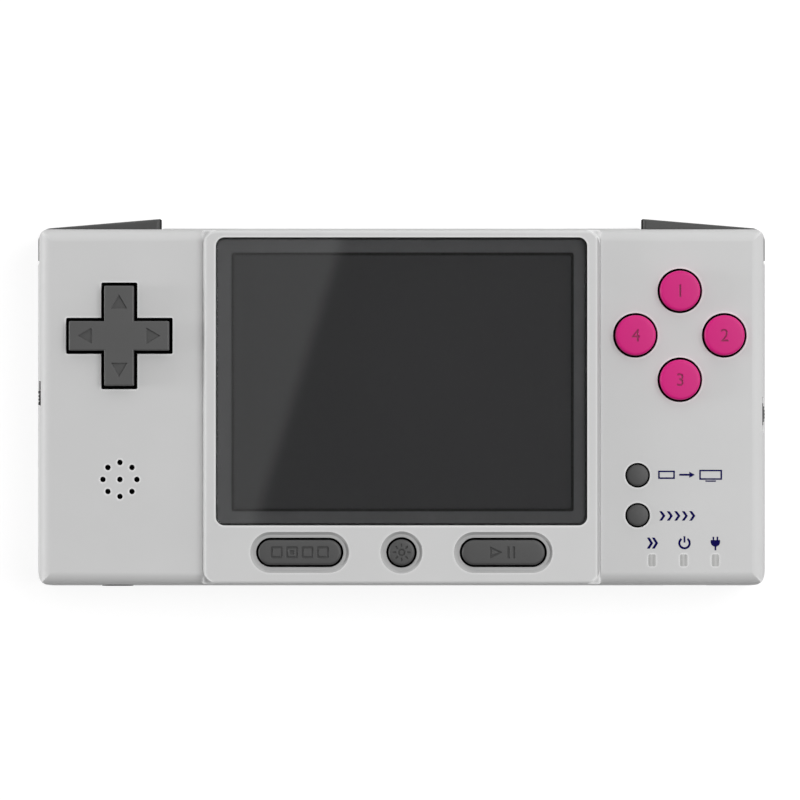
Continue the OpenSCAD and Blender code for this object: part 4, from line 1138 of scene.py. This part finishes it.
@dataclass
class WingPrint(Assembly):
    """Light guides and printed signs on the right wing."""

    icon_y: float = -24.5
    icon_x: Sequence[float] = (45.27, 50.94, 56.5)
    output_at: Point = (46.2, -12.2)
    turbo_at: Point = (46.4, -19.6)
    below: float = 0.03
    above: float = 0.025
    lamp: Point = (1.36, 2.16)
    lamp_x: Sequence[float] = (45.1, 50.8, 56.5)
    lamp_y: float = -27.6

    def faces(self) -> Thing:
        """Smooth faces of the light guides, which close the joint round them."""
        wing = box_mm("led_windows")[1].z
        levels = (wing - self.below, wing + self.above)
        plates = [loft([ring(*self.lamp, 0.32, z, (x, self.lamp_y)) for z in levels]) for x in self.lamp_x]
        return piece("lamp_faces", together(plates), "housing", [LAMP])

    def printed(self, name: str, outlines: Sequence[Outline], at: Point) -> Thing:
        """Thin print of several outlines on the wing.

        Args:
            name: the piece's name.
            outlines: outlines round their own origin, in mm.
            at: where that origin lies on the wing.

        Returns:
            The printed piece.
        """
        wing = box_mm("led_windows")[1].z
        prisms = [
            prism([(x + at[0], y + at[1]) for x, y in line], wing - self.below, wing + self.above)
            for line in outlines
        ]
        return piece(name, together(prisms), "housing", [NAVY])

    @staticmethod
    def chevron(x: float, half: float, reach: float, line: float) -> list[Point]:
        """Chevron that points right, by its left end, half height, reach of its tip and thickness."""
        edge = [(x, -half), (x + line, -half), (x + line + reach, 0.0), (x + line, half)]
        return edge + [(x, half), (x + reach, 0.0)]

    @staticmethod
    def sector(radius: float, line: float, start: float, end: float, steps: int = 24) -> list[Point]:
        """Outline of part of a ring.

        Args:
            radius: outer radius.
            line: thickness of the ring.
            start: first angle, in degrees.
            end: last angle, in degrees.
            steps: number of steps along the ring.

        Returns:
            The corners in order.
        """
        turns = [math.radians(start + (end - start) * i / steps) for i in range(steps + 1)]
        outer = [(radius * math.cos(t), radius * math.sin(t)) for t in turns]
        inner = [((radius - line) * math.cos(t), (radius - line) * math.sin(t)) for t in turns[::-1]]
        return outer + inner

    @staticmethod
    def screen(x: float, width: float, half: float, line: float) -> list[list[Point]]:
        """Four bars round a small screen.

        Args:
            x: left end of the screen.
            width: its width.
            half: half of its height.
            line: thickness of the bars.

        Returns:
            The bars' outlines.
        """
        return [
            bar(x, x + width, half - line, half),
            bar(x, x + width, -half, line - half),
            bar(x, x + line, line - half, half - line),
            bar(x + width - line, x + width, line - half, half - line),
        ]

    def signs(self) -> list[Thing]:
        """Signs over the lamps and beside the two small buttons."""
        fast = [self.chevron(x, 1.0, 0.62, 0.5) for x in (-1.1, -0.2)]
        power = [self.sector(1.12, 0.38, 125, 415), bar(-0.16, 0.16, 0.1, 1.25)]
        plug = [
            bar(-0.5, -0.22, 0.55, 1.15), bar(0.22, 0.5, 0.55, 1.15),
            [(-0.85, 0.55), *[(0.85 * math.cos(math.radians(a)), 0.2 + 0.85 * math.sin(math.radians(a)))
                              for a in range(180, 361, 15)], (0.85, 0.55)],
            bar(-0.15, 0.15, -1.3, -0.62),
        ]
        shown = self.screen(0.0, 3.0, 0.75, 0.28)
        shown += [bar(3.8, 5.6, -0.17, 0.17), [(5.6, -0.55), (6.6, 0.0), (5.6, 0.55)]]
        shown += self.screen(7.4, 4.1, 0.9, 0.28) + [bar(8.5, 10.4, -1.25, -1.02)]
        rush = [self.chevron(1.35 * i, 0.85, 0.6, 0.5) for i in range(5)]
        icons = zip(("fast_sign", "power_sign", "plug_sign"), (fast, power, plug), self.icon_x)
        made = [self.printed(name, lines, (x, self.icon_y)) for name, lines, x in icons]
        made.append(self.printed("output_sign", shown, self.output_at))
        made.append(self.printed("turbo_sign", rush, self.turbo_at))
        return made

    def build(self) -> list[Thing]:
        """Dresses the light guides and their lamps, and prints the signs."""
        return dress(LAMP, "led_windows") + dress(WHITE, "indicator_leds") + [self.faces()] + self.signs()


@dataclass
class Triggers(Assembly):
    """Two triggers on the upper corners, each with its pin, spring and switch."""

    sides: Sequence[str] = ("left", "right")

    def build(self) -> list[Thing]:
        """Dresses both triggers and what moves them."""
        made = []
        for side in self.sides:
            made += dress(TRIGGER, f"{side}_trigger")
            data = made[-1].data
            # The inner end faces, which look towards the middle, get near-black painted shade
            data.materials.append(PAINTED_SHADE.material())
            for face in data.polygons:
                face.material_index = int(face.normal.x * face.center.x < -0.9 * abs(face.center.x))
            made += dress(STEEL, f"{side}_trigger_pin", f"{side}_trigger_spring")
            made += dress(BLACK, f"{side}_trigger_switch")
        return made


@dataclass
class EdgeControls(Assembly):
    """Volume wheel, power knob and the two sockets on the edges."""

    dark: Sequence[str] = ("volume_wheel", "power_slider")

    def build(self) -> list[Thing]:
        """Dresses the controls and sockets."""
        made = dress(CONTROL, *self.dark) + dress(WAFER, "volume_pot") + dress(STEEL, "power_switch_body")
        return made + dress(BLACK, "av_jack", "usb_tongue") + dress(STEEL, "usb_socket")


@dataclass
class RubberSheets(Assembly):
    """Silicone sheets with a dome under each button, which gives way when the button is pressed."""

    sheets: Sequence[tuple[str, float, Sequence[str]]] = (
        ("dpad_membrane", 0.0, ()),
        (
            "face_membrane", 2.9,
            ("face_button_top", "face_button_left", "face_button_right", "face_button_bottom"),
        ),
        ("menu_membrane", 2.2, ("select_button", "start_button", "brightness_button")),
        ("side_membrane", 1.9, ("output_button", "turbo_button")),
    )
    edge: float = 0.14
    flat: float = 0.7
    height: float = 1.48
    skin: float = 0.6
    joint: float = 0.02
    keep: float = 0.33

    def moulding(self, node: str) -> Mesh:
        """One sheet with its moulded edges rounded.

        Args:
            node: the CAD sheet.

        Returns:
            A closed mesh, in mm.
        """
        mesh = bmesh.new()
        mesh.from_mesh(frame["nodes"][node].data)
        bmesh.ops.scale(mesh, verts=mesh.verts, vec=(1 / MM,) * 3)
        bmesh.ops.remove_doubles(mesh, verts=mesh.verts, dist=0.001)
        sharp = [e for e in mesh.edges if len(e.link_faces) == 2 and e.calc_face_angle() > SHARP]
        bmesh.ops.bevel(mesh, geom=sharp, offset=self.edge, segments=2, affect="EDGES", clamp_overlap=True)
        return mesh

    def dome(self, button: str, radius: float, foot: float) -> Thing:
        """Hollow dome under one button.

        Args:
            button: the button that presses it.
            radius: radius of the dome's foot, in mm.
            foot: level of its foot, in mm.

        Returns:
            The dome.
        """
        centre = centre_mm(button)
        roof = self.height - self.skin
        profile = (
            (0.1, roof), (radius - 1.0, roof), (radius - 0.5, self.flat), (radius - 0.5, 0.0), (radius, 0.0),
            (radius, self.flat), (radius - 0.55, self.height - 0.1), (radius - 0.7, self.height),
            (0.1, self.height),
        )
        mesh = loft([ring(2 * r, 2 * r, r, foot + rise, centre, 8) for r, rise in profile])
        made = piece(f"{button}_dome", mesh, "housing", [RUBBER])
        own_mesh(made)
        return made

    def build(self) -> list[Thing]:
        """Builds the four sheets and their domes."""
        made = []
        for node, radius, buttons in self.sheets:
            low, high = box_mm(node)
            mesh, hole = self.moulding(node), 2 * (radius + self.joint)
            if buttons:
                holes = [
                    loft([
                        ring(hole, hole, hole / 2, z, centre_mm(name), 8) for z in (low.z - 1, high.z + 1)
                    ])
                    for name in buttons
                ]
                mesh = carve(mesh, together(holes))
            made.append(piece(f"{node}_rubber", mesh, "housing", [RUBBER], [node]))
            made += [self.dome(button, radius, low.z) for button in buttons]
        return made


@dataclass
class Speaker(Assembly):
    """Loudspeaker behind the grille on its foam ring."""

    steps: int = 10
    bulge: float = 0.1
    wall: float = 2.2
    slack: float = 0.1

    def gasket(self) -> Thing:
        """Foam ring that bulges a little where it is pressed."""
        low, high = box_mm("speaker_gasket")
        middle, half = centre_mm("speaker_gasket"), (low.z + high.z) / 2
        outer = high.x - low.x - 2 * self.slack
        inner = high.x - low.x - self.wall + self.slack
        profile = [(outer, low.z), (outer + self.bulge, half), (outer, high.z)]
        profile += [(inner, high.z), (inner - self.bulge, half), (inner, low.z)]
        mesh = loft([ring(size, size, size / 2, z, middle, self.steps) for size, z in profile], closed=True)
        return piece("foam_ring", mesh, "housing", [FOAM], ["speaker_gasket"])

    def build(self) -> list[Thing]:
        """Dresses the speaker and builds its ring."""
        made = dress(BLACK, "speaker_frame") + dress(PAPER, "speaker_cone") + dress(STEEL, "speaker_magnet")
        return made + [self.gasket()]


@dataclass
class PowerPack(Assembly):
    """Battery in its wrap, with marked poles, and the contacts that it touches."""

    corner: float = 1.2
    edge: float = 0.7
    mark: float = 2.6
    line: float = 0.7
    pole_in: float = 4.0
    plus_down: float = 4.0
    minus_down: float = 12.0

    def pack(self) -> Thing:
        """Wrapped battery with rounded edges."""
        low, high = box_mm("battery")
        size, middle = high - low, (low + high) / 2
        rows = []
        for step in range(7):
            turn = math.radians(90 * step / 6)
            rows.append((self.edge * (1 - math.sin(turn)), low.z + self.edge * (1 - math.cos(turn))))
        rows += [(inset, low.z + high.z - z) for inset, z in rows[::-1]]
        rings = [grown(size, -inset, self.corner, z, middle.xy) for inset, z in rows]
        return piece("battery_pack", loft(rings), "housing", [WRAP], ["battery"])

    def poles(self) -> Thing:
        """Plus and minus printed on the battery's outer face."""
        low, high = box_mm("battery")
        middle = (low + high) / 2
        x, half, line = high.x - self.pole_in, self.mark / 2, self.line / 2
        top, foot = middle.y - self.plus_down, middle.y - self.minus_down
        arms = [
            (x - half, top - line), (x - line, top - line), (x - line, top - half), (x + line, top - half),
            (x + line, top - line), (x + half, top - line), (x + half, top + line), (x + line, top + line),
            (x + line, top + half), (x - line, top + half), (x - line, top + line), (x - half, top + line),
        ]
        dash = bar(x - half, x + half, foot - line, foot + line)
        marks = [prism(shape, low.z - 0.02, low.z + 0.05) for shape in (arms, dash)]
        return piece("pole_marks", together(marks), "housing", [WHITE_INK])

    def build(self) -> list[Thing]:
        """Builds the battery and dresses its contacts."""
        made = [self.pack(), self.poles()]
        return made + dress(BLACK, "battery_contact_block") + dress(GOLD, "battery_contacts")


@dataclass
class InnerWorks(Assembly):
    """Circuit board with its parts, and the socket for the game card."""

    chips: Sequence[str] = ("processor", "memory_chips")

    def build(self) -> list[Thing]:
        """Dresses the board and what it carries."""
        made = dress(BOARD, "main_board") + dress(CHIP, *self.chips) + dress(STEEL, "crystal", "board_screws")
        made += dress(CAN, "board_capacitors") + dress(BLACK, "cartridge_connector")
        return made + dress(GOLD, "cartridge_contacts")


@dataclass(frozen=True)
class SoftBox:
    """Square lamp that looks at the console."""

    name: str
    towards: Sequence[float]
    away: float
    size: float
    power: float

    def build(self) -> Thing:
        """Sets the lamp up."""
        data = bpy.data.lights.new(self.name, "AREA")
        data.shape, data.size, data.energy = "SQUARE", self.size, self.power
        lamp = link(self.name, data)
        lamp.location = Vector(self.towards).normalized() * self.away
        lamp.rotation_euler = Vector(self.towards).to_track_quat("Z", "Y").to_euler()
        return lamp


@dataclass
class Studio:
    """Pale floor, soft daylight from the upper right, a card that the clear cover mirrors, and the camera."""

    camera_at: Sequence[float] = (-0.00027, 0.00126, 1.2176)
    lens: float = 300.0
    sensor: float = 36.0
    lamps: Sequence[SoftBox] = (
        SoftBox("key", (0.45, 0.15, 0.82), 1.3, 0.9, 11.6),
        SoftBox("fill", (-1.0, 0.0, 0.12), 1.6, 0.35, 14.0),
    )
    sky: Sequence[Point] = ((0.0, 1.15), (0.2, 0.96), (0.4, 0.6), (0.7, 0.34), (0.93, 0.2), (1.0, 0.15))
    sky_lean: Sequence[float] = (0.2, 0.7, 0.0)
    floor_size: float = 12.0
    floor_drop: float = 0.0002
    floor_colour: Colour = (0.25, 0.25, 0.25)
    floor_glow: float = 0.83
    card_z: float = 1.9
    card_edge: Sequence[Point] = ((-26.6, 75.7), (-67.3, -56.6))
    card_left: float = -130.0
    card_half: float = 110.0
    card_soft: float = 5.0
    card_glow: float = 0.5

    def camera(self) -> None:
        """Sets the camera straight over the screen."""
        data = bpy.data.cameras.new("camera")
        data.lens, data.sensor_width, data.clip_end = self.lens, self.sensor, 50.0
        eye = link("camera", data)
        eye.location = self.camera_at
        bpy.context.scene.camera = eye

    def light(self) -> None:
        """Sets the sky, brighter towards one side and white to the camera, and the lamps."""
        bpy.context.scene.world = bpy.data.worlds.new("sky")
        sky = Nodes(bpy.context.scene.world)
        air = sky.nodes["Background"]
        white = sky.put("Background", {"Color": (1.0, 1.0, 1.0, 1.0)})
        way = sky.put("TexCoord").outputs["Generated"]
        ramp = sky.put("ValToRGB", {"Fac": sky.put("SeparateXYZ", {0: way}).outputs["Z"]})
        stops = ramp.color_ramp.elements
        while len(stops) < len(self.sky):
            stops.new(0.5)
        for stop, (height, level) in zip(stops, self.sky):
            stop.position, stop.color = height, (level, level, level, 1.0)
        side = sky.put("VectorMath", {0: way, 1: self.sky_lean}, operation="DOT_PRODUCT").outputs["Value"]
        share = sky.put("Math", {0: side, 1: 1.0}, operation="ADD").outputs[0]
        sky.feed(air.inputs["Color"], ramp.outputs["Color"])
        sky.feed(air.inputs["Strength"], share)
        seen = sky.put("LightPath").outputs["Is Camera Ray"]
        both = sky.put("MixShader", {0: seen, 1: air.outputs[0], 2: white.outputs[0]})
        sky.feed(sky.nodes["World Output"].inputs["Surface"], both.outputs[0])
        for lamp in self.lamps:
            lamp.build()

    def sheet(self, name: str, corners: Sequence[Sequence[float]], material: Material) -> Thing:
        """Flat sheet of the studio.

        Args:
            name: the sheet's name.
            corners: its corners, in metres.
            material: its material.

        Returns:
            The sheet.
        """
        data = bpy.data.meshes.new(name)
        data.from_pydata([tuple(corner) for corner in corners], [], [tuple(range(len(corners)))])
        data.materials.append(material)
        thing = link(name, data)
        return thing

    def floor(self) -> Thing:
        """Pale floor that shows white, keeps the shadow and is clear from below."""
        tree = Tree("pale_floor")
        tree.dress(Base_Color=toned(self.floor_colour, 1.0), Roughness=0.9, Specular_IOR_Level=0.0)
        rays = tree.put("LightPath").outputs
        seen = rays["Is Camera Ray"]
        for kind in ("Is Glossy Ray", "Is Transmission Ray"):
            seen = tree.put("Math", {0: seen, 1: rays[kind]}, operation="MAXIMUM").outputs[0]
        glow = tree.put("Math", {0: seen, 1: self.floor_glow}, operation="MULTIPLY").outputs[0]
        light = tree.put("Emission", {"Strength": glow})
        both = tree.put("AddShader", {0: tree.shader.outputs["BSDF"], 1: light.outputs["Emission"]})
        under = tree.put("NewGeometry").outputs["Backfacing"]
        clear = tree.put("BsdfTransparent")
        shown = tree.put("MixShader", {0: under, 1: both.outputs["Shader"], 2: clear.outputs["BSDF"]})
        half = self.floor_size / 2
        corners = [(x, y, -self.floor_drop) for x, y in bar(-half, half, -half, half)]
        return self.sheet("floor", corners, tree.show(shown.outputs["Shader"]))

    def card(self) -> Thing:
        """Pale card over the camera, with one soft slanting edge."""
        (x1, y1), (x2, y2) = self.card_edge
        along = Vector((x2 - x1, y2 - y1)).normalized()
        across = Vector((-along.y, along.x))
        if across.x < 0:
            across = -across
        tree = Tree("pale_card")
        own = tree.put("TexCoord").outputs["Object"]
        lean = {0: own, 1: (across.x, across.y, 0.0)}
        side = tree.put("VectorMath", lean, operation="DOT_PRODUCT").outputs["Value"]
        edge, soft = (Vector((x1, y1)) @ across) * MM, self.card_soft * MM
        limits = {
            "Value": side, "From Min": edge - soft, "From Max": edge + soft, "To Min": 1.0, "To Max": 0.0,
        }
        share = tree.put("MapRange", limits, interpolation_type="SMOOTHSTEP").outputs["Result"]
        light = tree.put("Emission", {"Strength": self.card_glow})
        clear = tree.put("BsdfTransparent")
        both = tree.put("MixShader", {0: share, 1: clear.outputs["BSDF"], 2: light.outputs["Emission"]})
        ends = bar(self.card_left, max(x1, x2) + 4 * self.card_soft, -self.card_half, self.card_half)
        corners = [(x * MM, y * MM, self.card_z) for x, y in ends]
        return self.sheet("card", corners, tree.show(both.outputs["Shader"]))

    def build(self) -> None:
        """Sets up the studio."""
        bpy.context.scene.view_settings.view_transform = "Standard"
        self.camera()
        self.light()
        self.floor()
        self.card()


def main() -> None:
    """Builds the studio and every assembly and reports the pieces."""
    logging.basicConfig(level=logging.INFO, format="%(message)s")
    Studio().build()
    assemblies: list[Assembly] = [
        CaseShell(), ScreenStack(), CrossPad(), FaceButtons(), MenuButtons(), SideButtons(), WingPrint(),
        Triggers(), EdgeControls(), RubberSheets(), Speaker(), PowerPack(), InnerWorks(),
    ]
    for assembly in assemblies:
        for thing in assembly.build():
            LOG.info("%s: %s on %s", type(assembly).__name__, thing.name, thing["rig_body"])


if __name__ == "__main__":
    main()
